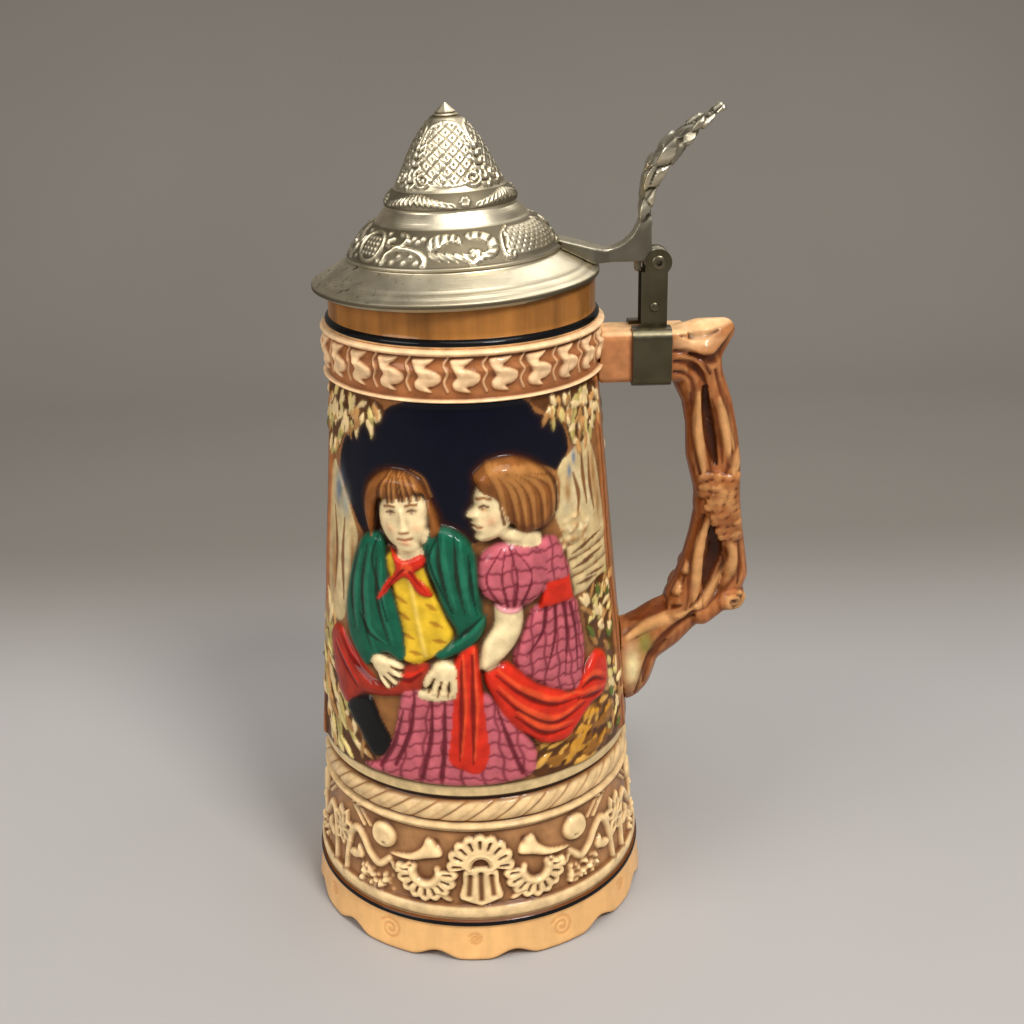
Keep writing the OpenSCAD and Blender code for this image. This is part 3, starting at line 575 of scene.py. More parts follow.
def skirt_sector():
    start, stop = -SMALL_LOBE / 2, 360 / PAIRS - SMALL_LOBE / 2
    angle = np.linspace(start, stop, 113)
    gap = np.minimum(np.abs(angle - start), np.minimum(np.abs(angle - stop), np.abs(angle + start)))
    s = np.radians(gap) * foot_radius
    low = NOTCH_H * np.cos(np.pi / 2 * np.clip(s / NOTCH_HALF, 0, 1)) ** 2
    v = np.linspace(0, 1, 11)[:, None]
    level = [5.0, 5.5, 6, 6.4, 6.8, 7.2, 7.6, 8, 8.4, 8.8, 9.3, 9.8, 10.4, 11, 11.7, LINE[0],
             LINE[0] + 0.06, 12.7, 13.2, LINE[1] - 0.06, LINE[1], SKIRT_TOP]
    z = np.vstack([low + (LEVEL_FROM - low) * v, np.ones_like(angle) * np.array(level)[:, None]])
    relief = Relief(np.radians(angle + LOBE_TURN) * FOOT_UNROLL, z, PEACH)
    edge = np.clip((z - low) / 1.6, 0, 1)
    relief.h -= 0.9 * (1 - np.sqrt(1 - (1 - edge) ** 2))
    for lobe, height, radius in ((0, 7.3, 2.2), (360 / PAIRS / 2, 6.6, 3.9)):
        centre = (math.radians(lobe + LOBE_TURN) * FOOT_UNROLL, height)
        relief.ridge(spiral(centre, radius, 1.9, 150, -1), 0.5, -0.25, paint(230, 168, 102))
    relief.colour[(z > LINE[0] + 0.03) & (z < LINE[1] - 0.03)] = BLACK
    relief.colour[z > LINE[1] - 0.03] = BROWN
    return relief


skirt = ring(slab("foot_skirt", skirt_sector(), wall_radius, FOOT_UNROLL), PAIRS, foot_glaze)

# %% [markdown]
# ## The scroll band
# Below the rim runs a band of 24 raised scrolls with thin wavy lines between them, cream on a brown stain.
# One scroll is one outline; one sector holds it with half of each neighbour's line.

# %% Build the scroll sector
SCROLLS, SCROLL_UNROLL, SCROLL_MID = 24, 41.0, 185.2
SCROLL = [(-3.9, 4.6), (-0.9, 4.9), (2.5, 4.9), (1.3, 3.4), (-0.1, 2.3), (1.9, 1.6), (4.0, 0.2),
          (3.9, -1.8), (2.1, -3.1), (0.5, -3.5), (1.5, -5.0), (-0.9, -4.8), (-3.2, -4.0), (-3.7, -2.2),
          (-2.5, -0.4), (-3.0, 0.9), (-4.1, 3.0)]
WAVE = [(-4.6, 5.0), (-5.9, 3.0), (-4.9, 0.6), (-5.9, -2.0), (-5.0, -4.6)]
SCROLL_GROUND, SCROLL_LIGHT = paint(176, 112, 66), paint(242, 200, 150)


def scroll_sector():
    period = 2 * np.pi * SCROLL_UNROLL / SCROLLS
    u = np.linspace(-period / 2, period / 2, 41)
    z = np.linspace(PANEL_TOP, SCROLL_TOP, 54)[:, None]
    relief = Relief(u, z, SCROLL_GROUND, period)
    relief.h -= 0.35
    middle = np.array([0.3, SCROLL_MID])
    relief.stamp(curve(SCROLL, True) + middle, 0.6, edge=1.8, crown=0.4)
    relief.ridge(curve([(-2.2, 3.2), (0, 0), (-0.6, -3.4)]) + middle, 1.0, -0.25)
    relief.ridge(curve(WAVE) + middle, 0.5, 0.6)
    across = np.array([-2 * period, 2 * period])
    for height, half, rise in ((PANEL_TOP + 0.8, 0.6, 0.6), (SCROLL_TOP - 0.7, 1.3, 0.7)):
        relief.ridge(np.stack([across, [height, height]], -1), half, rise)
    relief.shade(-0.3, 0.6, SCROLL_GROUND, SCROLL_LIGHT)
    relief.wash(4, 1.0, paint(96, 46, 20))
    relief.colour[:, -1] = relief.colour[:, 0]
    return relief


scroll_band = ring(slab("scroll_band", scroll_sector(), wall_radius, SCROLL_UNROLL), SCROLLS, relief_glaze)

# %% [markdown]
# ## The rope band
# Thirty-six strands lean to the right, cream with brown gaps, over a plain bead. The columns of the
# sector lean with the strand, so that each gap runs along a column and stays crisp.

# %% Build the rope sector
STRANDS, BAND_UNROLL = 36, 50.0
ROPE_LOW, ROPE_HIGH, ROPE_LEAN = 47.2, 54.2, 1.35
BEAD_MID, BEAD_HALF, SHADOW_FROM = 45.6, 1.1, 54.5
ROPE_GROUND, ROPE_LIGHT = paint(152, 98, 54), paint(228, 192, 138)


def rope_sector():
    period = 2 * np.pi * BAND_UNROLL / STRANDS
    s = np.linspace(-0.5, 0.5, 25)
    z = np.linspace(FRIEZE_TOP, ROPE_TOP, 36)[:, None]
    lean = ROPE_LEAN * (np.clip(z, ROPE_LOW, ROPE_HIGH) - ROPE_LOW)
    relief = Relief(s * period + lean, z, ROPE_GROUND)
    across = np.clip((z - ROPE_LOW) / (ROPE_HIGH - ROPE_LOW), 0, 1)
    round_over = np.sqrt(np.clip(1 - (2 * across - 1) ** 2, 0, 1))
    strand = 1 - np.abs(2 * s) ** 5
    fold = 0.05 * np.cos(4 * np.pi * (s + 0.12 * across))
    on_rope = (z > ROPE_LOW) & (z < ROPE_HIGH)
    relief.h = np.where(on_rope, -0.5 + round_over * (0.35 + 0.85 * strand + fold), -0.5)
    bead = np.clip(1 - ((z - BEAD_MID) / BEAD_HALF) ** 2, 0, 1)
    relief.h = np.maximum(relief.h, -0.5 + 1.2 * np.sqrt(bead) + 0 * s)
    relief.shade(-0.35, 0.35, ROPE_GROUND, ROPE_LIGHT)
    streak = on_rope * np.clip(np.sin(2 * np.pi * (2 * s + 0.3 * across)), 0, 1) ** 2
    relief.colour += (paint(190, 138, 84) - relief.colour) * 0.35 * streak[..., None]
    relief.wash(3, 1.2, paint(84, 42, 16))
    relief.colour[np.broadcast_to(z > SHADOW_FROM, relief.h.shape)] = paint(52, 32, 20)
    relief.colour[:, -1] = relief.colour[:, 0]
    return relief


rope_band = ring(slab("rope_band", rope_sector(), wall_radius, BAND_UNROLL), STRANDS, relief_glaze)

# %% [markdown]
# ## The shell frieze
# Scallop shells, a fluted vase, horns, fruits and vines stand out in cream from a brown ground. The
# pattern repeats three times round the mug. Most of it is the same on both sides of the vase, so a
# shape is given once and mirrored. Shells are fans of ribs, worked out from an angle and a count.

# %% Shapes of the frieze
REPEATS = 3
FIELD_LOW, FIELD_TOP = 18.9, 43.6
MOULDING_LINES = ((18.8, 0.5), (14.6, 0.35), (43.4, 0.5))
FRIEZE_GROUND, FRIEZE_LIGHT = paint(186, 134, 86), paint(238, 203, 148)
HORN = [(30, 32.4), (22.5, 34.2), (18.6, 37), (17, 40.4), (14.8, 40.2), (12.2, 37.6), (12, 34.8),
        (16.5, 33.6), (22, 32)]
VASE = [(-5.2, 30.6), (-5.6, 26), (-6.6, 21.4), (-4.4, 20.2), (-2.4, 19.4), (0, 18.8), (2.4, 19.4),
        (4.4, 20.2), (6.6, 21.4), (5.6, 26), (5.2, 30.6), (2.6, 31.6), (0, 32), (-2.6, 31.6)]
VINE = [(49, 19.5), (48.4, 26), (46.6, 33), (43.6, 35.4), (40.6, 33.4), (37.4, 29.4), (33.6, 27.2),
        (29.6, 30.4)]
SPRIG = [(46.5, 43.4), (43, 40.6), (40.4, 38.2)]
TENDRIL = [(22.4, 31), (25, 28.8), (27.4, 27.4), (28.6, 29.2)]


def mirrored(points):
    """The points as they are, and mirrored to the other side of the vase."""
    p = np.array(points, float)
    return p, p * [-1, 1]


def shell(relief, centre, inner, outer, start, stop, ribs, level):
    """A scallop shell between two angles, with a scalloped edge and a slot down the middle of each rib."""
    share = np.linspace(0, ribs, 10 * ribs + 1)
    a = np.radians(start + (stop - start) * share / ribs)
    rim = outer * (1 - 0.09 * (1 - np.abs(np.sin(np.pi * share))))
    way = np.stack([np.cos(a), np.sin(a)], -1)
    outline = np.vstack([centre + rim[:, None] * way, centre + inner * way[::-1]])
    relief.stamp(outline, level, edge=1.0, crown=0.3)
    for k in range(ribs):
        b = math.radians(start + (stop - start) * (k + 0.5) / ribs)
        slot = centre + np.outer([0.57 * outer, 0.77 * outer], [math.cos(b), math.sin(b)])
        relief.ridge(slot, 0.068 * outer, -1.4 * level, taper=(0.7, 1))


def collar(relief, centre, radius, start, stop, level):
    """The rolled ring at the root of a shell, thicker at its two ends."""
    a = np.radians(np.linspace(start, stop, 16))
    path = np.array(centre) + radius * np.stack([np.cos(a), np.sin(a)], -1)
    relief.ridge(path, 1.15, level, taper=(1.15, 0.9, 1.15))


print("frieze shapes:", len(VASE), "points in the vase,", len(HORN), "in a horn,", len(VINE), "in a vine")

# %% Build the frieze sector
def frieze_sector():
    period = 2 * np.pi * BAND_UNROLL / REPEATS
    u = np.linspace(-period / 2, period / 2, 281)
    z = np.linspace(SKIRT_TOP, FRIEZE_TOP, 82)[:, None]
    relief = Relief(u, z, FRIEZE_GROUND, period)
    field = np.broadcast_to((z > FIELD_LOW) & (z < FIELD_TOP), relief.h.shape)
    relief.h[field] -= 0.45
    shell(relief, np.array([0, 32.2]), 3.4, 10.6, -14, 194, 9, 0.85)
    relief.stamp(curve(VASE, True, 3), 0.85, edge=0.9, crown=0.2)
    for u_slot, foot, head in ((-3.3, 22.4, 28.6), (0, 20.8, 29.4), (3.3, 22.4, 28.6)):
        relief.ridge([(1.12 * u_slot, foot), (0.96 * u_slot, head)], 1.2, -1.2)
    collar(relief, (0, 31.6), 3.6, 5, 175, 1.25)
    for side in (-1, 1):
        centre = np.array([side * 17.2, 29.2])
        shell(relief, centre, 3.6, 10.3, 172, 368, 9, 0.8)
        collar(relief, centre, 3.9, 165, 375, 1.15)
        fruit = (side * 32, 38)
        relief.stamp(ellipse(fruit, 4.9, 4.5), 0.5, edge=2.5, crown=1.4)
        relief.lump((fruit[0] - 0.6 * side, fruit[1] - 2.2), 1.1, 0.9, -1.1)
    for horn, vine, sprig, tendril in zip(*map(mirrored, (HORN, VINE, SPRIG, TENDRIL))):
        relief.stamp(curve(horn, True), 0.7, edge=1.6, crown=0.7)
        mouth = horn[3:7].mean(0) + (horn[4] - horn[2]) * 0.08
        relief.lump(mouth, 1.1, 2.0, -0.7)
        relief.ridge(curve(vine), 1.65, 1.25, taper=(0.9, 1, 1.1, 0.8))
        relief.ridge(curve(tendril), 0.8, 1.0)
        relief.ridge(curve(sprig), 0.8, 1.0)
        relief.ridge(curve(sprig) - [2.6 * np.sign(sprig[0, 0]), -0.6], 0.7, 0.8)
    dice = np.random.default_rng(11)
    for centre in ((-34.5, 22), (34.5, 22.6)):
        for _ in range(64):
            spread = dice.uniform(-1, 1, 2) * (6.4, 3.0)
            relief.lump(np.add(centre, spread), 0.8, 0.8, dice.uniform(0.45, 0.95))
    for petal, reach in ((20, 8), (62, 8.6), (98, 8.2), (140, 7.4), (-28, 6.6), (-80, 6), (-130, 6.6)):
        leaf = blade((period / 2, 31.5), petal, reach, 4.2, 0.1)
        relief.stamp(leaf, 0.85, edge=0.8)
        relief.stamp((leaf - leaf.mean(0)) * 0.5 + leaf.mean(0), -0.1, edge=0.6)
    for side in (-1, 1):
        relief.stamp(blade((side * 8.4, 19.9), 90 - side * 74, 6.4, 2.0, 0.16 * side), 0.5, edge=0.9)
        relief.stamp(blade((side * 47.5, 25), 90 + side * 62, 7.5, 3.4, 0.15 * side), 0.75, edge=1.1)
        relief.stamp(blade((side * 41, 25.5), 90 - side * 20, 5.5, 3.4), 0.75, edge=1.1)
    return relief


def stain_frieze(relief):
    """Brown in the ground, cream on what stands out, and a worn cream edge on the mouldings."""
    relief.h = np.minimum(relief.h, 1.4)
    relief.shade(-0.35, 0.8, FRIEZE_GROUND, FRIEZE_LIGHT)
    moulding = (relief.z < FIELD_LOW - 0.3) | (relief.z > FIELD_TOP - 0.1)
    relief.colour[moulding] = FRIEZE_LIGHT
    for height, half in MOULDING_LINES:
        near = np.exp(-((relief.z - height) / half) ** 2)[..., None]
        relief.colour = relief.colour * (1 - 0.8 * near) + BROWN * 0.8 * near
    relief.wash(7, 1.0, paint(84, 42, 16))
    relief.wash(2, 1.0, paint(70, 34, 12))
    relief.colour[:, -1] = relief.colour[:, 0]
    return relief


frieze = slab("shell_frieze", stain_frieze(frieze_sector()), wall_radius, BAND_UNROLL)
frieze = ring(frieze, REPEATS, relief_glaze)

# %% [markdown]
# ## The picture panel
# A seated couple in old country dress, before a night sky, is the kind of scene that such steins carry.
# It is drawn from a few dozen outlines, laid one over the other from back to front, each with a level, a
# rounded edge and a colour. Grooves make the folds, with painted shade in them and often a painted
# highlight beside them. The panel is two slabs: a fine grid in front and a coarser one behind. Each shape
# is drawn on both, and falls where it belongs.

# %% The panel's grids and its paints
PANEL_UNROLL = 45.0
AROUND = 2 * np.pi * PANEL_UNROLL
SPLIT = 76


def panel_grid(start, stop, columns, rows):
    """A blank stretch of the panel between two angles."""
    u = np.radians(np.linspace(start, stop, columns)) * PANEL_UNROLL
    z = np.linspace(ROPE_TOP, PANEL_TOP, rows)[:, None]
    return Relief(u, z, paint(150, 98, 52), AROUND, wrap=False)


front = panel_grid(-SPLIT, SPLIT, 300, 318)
back = panel_grid(SPLIT, 360 - SPLIT, 300, 212)
NAVY = paint(4, 6, 22)
# The darker green, red and yellow are painted shade in creases; the lighter green and red are painted
# highlights on ridges and on the cravat's knot.
GREEN, GREEN_SHADE, GREEN_HIGHLIGHT = paint(20, 86, 62), paint(8, 46, 32), paint(34, 108, 80)
YELLOW, YELLOW_SHADE = paint(226, 182, 44), paint(190, 132, 34)
RED, RED_SHADE, RED_HIGHLIGHT = paint(206, 44, 24), paint(122, 16, 10), paint(226, 78, 40)
RUST = paint(160, 46, 28)
# The plum is the plaid's own paint and also painted shade in the dress's folds.
PINK, PLAID_AND_FOLD_SHADE = paint(194, 96, 104), paint(108, 28, 42)
SKIN, BLUSH = paint(238, 212, 160), paint(168, 96, 56)
# The lighter hair brown is painted highlight along the strands.
HAIR, HAIR_DARK, HAIR_HIGHLIGHT = paint(134, 80, 36), paint(84, 44, 18), paint(168, 112, 58)
STONE, MOSS, STRAW = paint(214, 186, 132), paint(92, 104, 44), paint(150, 98, 38)


def draw(layer):
    """Draws a layer of the picture on both grids."""
    for part in (front, back):
        layer(part)
    print(layer.__name__, "drawn, highest", round(max(front.h.max(), back.h.max()), 2), "mm")


print("panel grids:", front.h.shape, back.h.shape)

# %% Sky, rocks and trunks behind the figures
SKY = [(-48.5, 157), (-45, 163), (-38, 167.5), (-30, 171.4), (-24, 175.4), (-14, 178), (4, 178.4),
       (15, 178), (20.5, 175.6), (22.5, 172.4), (27, 170.5), (32, 168), (34.5, 163), (34.5, 159),
       (31, 155.6), (22, 150), (5, 138), (-6, 136), (-30, 134), (-36, 136.5), (-40, 141), (-45, 147),
       (-48.5, 152)]
LEFT_ROCK = [(-54, 153), (-49, 151), (-45, 146), (-40, 139), (-38, 132), (-42, 116), (-45, 106),
             (-51, 104), (-56, 112), (-57, 135)]
RIGHT_ROCK = [(30, 154.6), (35, 158), (44, 161), (50, 152), (52.5, 133), (50, 128), (33, 131), (29, 137),
              (27, 145)]
LOGS = [[(31, 130.4), (52, 132), (52, 127.6), (31, 126.4)],
        [(31, 125.8), (52, 127), (52, 121.8), (31, 121)],
        [(32, 120.4), (52, 121.4), (52, 115.4), (33, 114.6)]]
HAZE, SUNLIT, BLUE_HAZE = paint(112, 126, 134), paint(230, 208, 158), paint(92, 112, 134)
TAN, BARK_BROWN = paint(170, 122, 70), paint(170, 104, 58)
WASHES = [((-49, 146), (3.4, 7), HAZE), ((-44.5, 142), (2.4, 5), paint(156, 156, 142)),
          ((-46, 126), (4, 11), SUNLIT), ((-52, 120), (2.6, 12), TAN), ((-43, 113), (2.6, 5), SUNLIT),
          ((38, 147), (4.4, 6), SUNLIT), ((47, 149), (2.6, 9), TAN), ((43.6, 144), (2.2, 9), SUNLIT),
          ((32, 143), (2.6, 4), SUNLIT), ((34.4, 153), (1.2, 2.4), BLUE_HAZE),
          ((36.8, 156.6), (1.2, 2.6), BLUE_HAZE), ((39.6, 160.6), (1.2, 2.8), BLUE_HAZE),
          ((33, 147), (1.6, 4), TAN), ((49, 140), (1.8, 7), TAN), ((-40.5, 128), (1.4, 8), TAN)]
CRAGS = [[(36, 152), (38, 145), (37, 139)], [(45, 156), (44.6, 147), (46, 138)],
         [(41, 158), (41, 150), (42, 141)], [(-52, 140), (-50, 128), (-51, 114)],
         [(-45, 138), (-46, 126), (-45, 112)]]
TRUNKS = [[(-59, 57), (-57.4, 90), (-58.8, 120), (-57, 150), (-58, 177)],
          [(55.5, 57), (56.6, 90), (54.8, 120), (56, 150), (55, 177)]]
LEDGE_LINE, LEDGE_TOP, TOP_FADE = 56.4, 60.3, 175.6


def lay_background(relief):
    relief.stamp(curve(SKY, True, 4), -0.5, NAVY, edge=0.7)
    for rock in (LEFT_ROCK, RIGHT_ROCK):
        relief.stamp(curve(rock, True), 0.5, STONE, edge=5)
    for centre, size, colour in WASHES:
        relief.lump(centre, *size, 0.12, colour)
    for path in CRAGS:
        relief.ridge(curve(path), 1.3, -0.45, paint(140, 92, 48), taper=(0.3, 1, 0.3))
    for beam in LOGS:
        relief.stamp(np.array(beam), 0.3, STONE, edge=1.6, crown=0.5)
        a, b = np.array(beam[0]), np.array(beam[2])
        relief.ridge([a + (2, -2.4), b + (-8, 2.2)], 0.8, -0.5, BROWN, taper=(0.3, 1, 0.2))
        relief.ridge([a + (7, -1.2), b + (-2, 3.0)], 0.6, -0.4, BROWN, taper=(0.3, 1, 0.2))
    dice = np.random.default_rng(2)
    for _ in range(34):
        spot = (dice.uniform(28.5, 42), dice.uniform(130.5, 139.5))
        relief.lump(spot, 1.2, 0.9, 0.45, (SUNLIT, CREAM, TAN)[dice.integers(3)])
    for trunk in TRUNKS:
        relief.ridge(curve(trunk), 3.2, 1.3, BARK_BROWN)
        relief.ridge(curve(trunk) - [0.9, 0], 0.5, -0.4, BROWN)


draw(lay_background)

# %% Leaves and straw
def foliage(relief, outline, count, angle, spread, seed, paints, length=(4.5, 7.5)):
    """Scatters bent leaves in an outline, each over the last, on a dark ground."""
    dice = np.random.default_rng(seed)
    edge = curve(outline, True)
    relief.stamp(edge, 0.1, paint(92, 54, 24), edge=1.5)
    low, high = edge.min(0), edge.max(0)
    left = count
    while left:
        spot = dice.uniform(low, high)
        if inside_depth(*spot[:, None], edge)[0] < 0.6:
            continue
        left -= 1
        leaf = blade(spot, angle + dice.uniform(-spread, spread), dice.uniform(*length),
                     dice.uniform(1.7, 3.0), dice.uniform(-0.3, 0.3))
        relief.stamp(leaf, dice.uniform(0.7, 1.4), paints[dice.integers(len(paints))], edge=0.9)


LEAF_PAINTS = [CREAM, CREAM, paint(232, 206, 128), paint(186, 166, 96), paint(204, 150, 88), TAN]
STRAW_PAINTS = [STRAW, paint(206, 144, 48), paint(120, 72, 28), paint(214, 160, 72)]
BOWERS = [([(-57, 177), (-32, 176.6), (-27, 172.6), (-36, 168.8), (-45, 164.5), (-50, 158), (-57, 158)],
           62, -112, 40, 3, LEAF_PAINTS, (4, 7)),
          ([(21, 176.6), (36, 177), (53, 176), (54, 166), (47, 161.5), (37, 160), (34, 167), (27, 171.4)],
           72, -78, 50, 4, LEAF_PAINTS, (3.4, 6)),
          ([(-57, 100), (-50, 103), (-46, 92), (-42, 80), (-36, 70), (-30, 65), (-36, 60.5), (-57, 60.5)],
           66, 118, 34, 5, LEAF_PAINTS, (6, 11)),
          ([(38, 114), (52, 115), (53, 96), (53, 64), (40, 62), (44, 78), (48, 90), (38, 98)],
           80, 84, 60, 6, LEAF_PAINTS + [MOSS], (3.4, 6.6)),
          ([(15, 78), (28, 72), (40, 78), (44, 74), (40, 61), (16, 61)],
           66, 24, 30, 7, STRAW_PAINTS, (4, 8))]


def lay_leaves(relief):
    for bower in BOWERS:
        foliage(relief, *bower)
    relief.lump((35.5, 76), 3.4, 1.7, 0.3, paint(236, 160, 44))


draw(lay_leaves)

# %% The man's clothes
TROUSERS = [(-52.5, 99), (-47, 103.5), (-42, 100), (-36, 94), (-30, 91), (-25, 92), (-20, 98),
            (-15, 101), (-12, 98), (-15, 91), (-22, 88), (-28, 86.4), (-35, 85), (-40, 80.5),
            (-43, 79.5), (-47, 83), (-51, 90)]
BOOT = [(-42, 78.6), (-36.5, 84), (-31.5, 85), (-28, 79), (-24.4, 73), (-26.4, 68), (-31, 66), (-36, 72)]
LEFT_COAT = [(-30, 138), (-35.5, 135), (-40, 126), (-43, 113), (-42, 104), (-38, 98.5), (-33, 95),
             (-30, 98), (-26, 101), (-20.4, 99.6), (-20, 108), (-22.6, 118), (-25.4, 128), (-26.5, 136)]
RIGHT_COAT = [(-13.5, 141), (-8, 142), (-3, 140), (0.6, 136), (2, 128), (2.4, 118), (4, 113), (2, 108),
              (-3, 104), (-9, 101.4), (-11, 103.4), (-6.6, 107.4), (-5, 110.4), (-8, 116), (-11, 124),
              (-14.4, 132)]
VEST = [(-26, 131), (-20, 133), (-14, 131), (-11, 123), (-7.4, 115), (-5.4, 109), (-11, 102),
        (-20, 99.6), (-20.4, 108), (-23, 119)]
CRAVAT = [(-24.5, 134), (-20, 131.6), (-14, 134), (-13.6, 130.4), (-16.4, 128), (-12.4, 124.2),
          (-11.4, 121.4), (-15.4, 122), (-19, 126.4), (-22.4, 124.6), (-27, 119.6), (-29, 118.4),
          (-26.4, 123.4), (-22.6, 128.4)]
COAT_FOLDS = [[(-37, 132), (-39.6, 119), (-38, 106)], [(-33, 134), (-35, 121), (-33.4, 108), (-31, 101)],
              [(-29.4, 131), (-29, 118), (-25, 105)], [(-35.6, 112), (-32, 107), (-27, 105)],
              [(-9.4, 140), (-9, 130), (-6, 117)], [(-4.6, 139), (-4, 127), (-2, 116)],
              [(-0.6, 134), (0, 124), (1.4, 116)], [(2.4, 115), (-2, 111), (-6.4, 107)],
              [(-12.4, 137), (-13, 130), (-9.6, 121)]]
VEST_FOLDS = [[(-23, 120), (-19, 118.4)], [(-22, 115), (-18, 113.4)], [(-21, 109), (-17, 107.6)],
              [(-13.4, 119), (-10, 117)], [(-12.4, 113.6), (-8.4, 112)], [(-11.6, 108), (-7.4, 107.4)],
              [(-18.6, 103.6), (-14.6, 103)]]
LAPELS = [[(-29, 137), (-31, 130), (-28.6, 122), (-25.4, 112)],
          [(-9.4, 140), (-12, 133), (-9.4, 125), (-5.6, 117)]]
TROUSER_FOLDS = [[(-49, 97), (-43, 92), (-37, 87)], [(-46, 101), (-39, 94.6), (-31, 90)],
                 [(-24, 95), (-19, 94), (-15, 97)]]


def dress_man(relief):
    relief.stamp(curve(TROUSERS, True), 1.3, RUST, edge=2.6, crown=0.9)
    # Each trouser fold: a ridge in the brighter red as painted highlight beside a groove in the darker red
    # as painted shade.
    for fold in TROUSER_FOLDS:
        relief.ridge(curve(fold) + [0.6, 1.6], 1.6, 0.2, RED, taper=(0.3, 0.8, 0.2))
        relief.ridge(curve(fold), 1.0, -0.4, RED_SHADE, taper=(0.4, 1, 0.4))
    relief.stamp(curve(BOOT, True), 1.4, BLACK, edge=1.6, crown=0.2)
    relief.stamp(curve(VEST, True), 2.1, YELLOW, edge=1.6, crown=0.6)
    relief.ridge(curve([(-18, 126), (-15.6, 113), (-13.6, 103)]), 0.8, 0.45, paint(240, 200, 84))
    # Vest creases in the darker yellow: painted shade.
    for fold in VEST_FOLDS:
        relief.ridge(curve(fold), 1.0, -0.3, YELLOW_SHADE, taper=(0.2, 1, 0.2))
    for coat in (LEFT_COAT, RIGHT_COAT):
        relief.stamp(curve(coat, True), 2.5, GREEN, edge=2.2, crown=1.1)
    # Coat folds: a lighter green ridge as painted highlight beside a darker green groove as painted shade.
    for fold in COAT_FOLDS:
        relief.ridge(curve(fold) + [1.7, 0], 1.6, 0.25, GREEN_HIGHLIGHT, taper=(0.2, 0.9, 0.1))
        relief.ridge(curve(fold), 0.9, -0.6, GREEN_SHADE, taper=(0.3, 1, 0.1))
    # Lapel lines are grooves in the darker green: painted shade.
    for lapel in LAPELS:
        relief.ridge(curve(lapel), 0.6, -0.4, GREEN_SHADE, taper=(0.6, 1, 0.6))


draw(dress_man)

# %% The woman's dress and shawl
SKIRT = [(-20.4, 90), (-14, 91.6), (-6, 91), (3, 91), (8, 85), (13, 78), (16.6, 70), (15.6, 63),
         (10, 61.2), (-5, 60.8), (-20, 61), (-34, 61.6), (-29, 65), (-25, 71), (-23, 78), (-22, 84)]
WAIST = [(19, 115.8), (32, 115.8), (34.8, 106), (35.6, 96), (33.4, 87), (30, 85.4), (22, 89), (14, 95.4),
         (11, 101), (13.6, 107), (16, 112)]
BODICE = [(15, 136.6), (21, 136.4), (27, 135), (30, 129), (31.4, 122), (23, 122), (19, 128)]
BAND = [(22, 123), (31.4, 123), (32.4, 115), (19.6, 115)]
FOREARM = [(7, 119), (14, 118.4), (14.4, 110), (10, 102.6), (3.4, 98), (1.4, 100.6), (3, 107), (6, 112)]
SLEEVE = [(1.8, 127), (3, 133), (8.6, 136.8), (16, 136.2), (21.6, 132), (23.2, 125), (21, 119.4),
          (15, 116.8), (8, 118), (3, 121.6)]
SLEEVE_FOLDS = [[(11 + 0.4 * b, 135.4), (11.8 + 1.5 * b, 127), (11.6 + 0.7 * b, 118)]
                for b in (-5, -2, 1, 4)]
SHAWL = [(2.6, 97.4), (8, 100.4), (12, 98), (18, 92), (25, 88), (30, 86), (36, 92), (41, 94.4),
         (46, 90.6), (46.4, 84), (43, 79.4), (36, 78), (31, 74), (26, 71), (20, 71.6), (14, 76), (9, 82),
         (4.6, 90)]
SASH = [(-4, 104), (0.4, 106.4), (1.8, 100), (2.2, 92), (2.8, 82), (3.4, 72), (1, 66), (-3, 66.6),
        (-7.4, 70), (-6.6, 80), (-6, 90), (-6.4, 98)]
SKIRT_FOLDS = [[(-17, 90), (-18.4, 78), (-23, 66)], [(-12, 90), (-12.4, 77), (-15, 63)],
               [(6, 86), (9, 75), (12.4, 64)], [(-8.4, 88), (-8.6, 76), (-9.6, 63)],
               [(-20.6, 84), (-23.6, 72), (-28, 64)]]
WAIST_FOLDS = [[(22, 115), (20.4, 108), (15, 101)], [(25, 115), (24.4, 106), (21, 95)],
               [(28, 115), (28.6, 106), (27, 92)], [(30.6, 114), (32, 104), (31.6, 92)]]
SHAWL_FOLDS = [[(6, 97), (13, 90), (22, 84.4), (32, 83.4)], [(6, 92), (13, 84), (22, 78.4), (34, 81)],
               [(11, 83), (19, 76), (28, 75.4)], [(33, 86), (38, 87), (43.6, 84)],
               [(31, 83), (37, 82), (43, 81)]]
SASH_FOLDS = [[(-3.4, 102), (-3.8, 85), (-4.6, 70)], [(-0.4, 104), (-0.6, 86), (-1, 69)]]


def plaid(relief, outline, centre, top, flare, spacing, colour):
    """Paints a checked cloth in an outline: the upright lines spread below the top by flare."""
    for p, spot in relief.near(outline, 0):
        u, z = relief.u[spot], relief.z[spot]
        upright = (u - centre) / (1 + flare * np.clip(top - z, 0, None))
        level = z + 0.012 * (u - centre) ** 2 + 0.35 * np.sin(0.9 * u) + 0.2 * np.sin(2.3 * u)
        upright = upright + 0.3 * np.sin(0.7 * z)
        far = [np.abs((x / gap + 0.5) % 1 - 0.5) * gap for x, gap in zip((upright, level), spacing)]
        share = np.clip(1.3 - np.minimum(*far) / 0.42, 0, 1) * (inside_depth(u, z, p) > 0)
        relief.h[spot] -= 0.25 * share
        relief.colour[spot] += (colour - relief.colour[spot]) * (0.85 * share)[:, None]


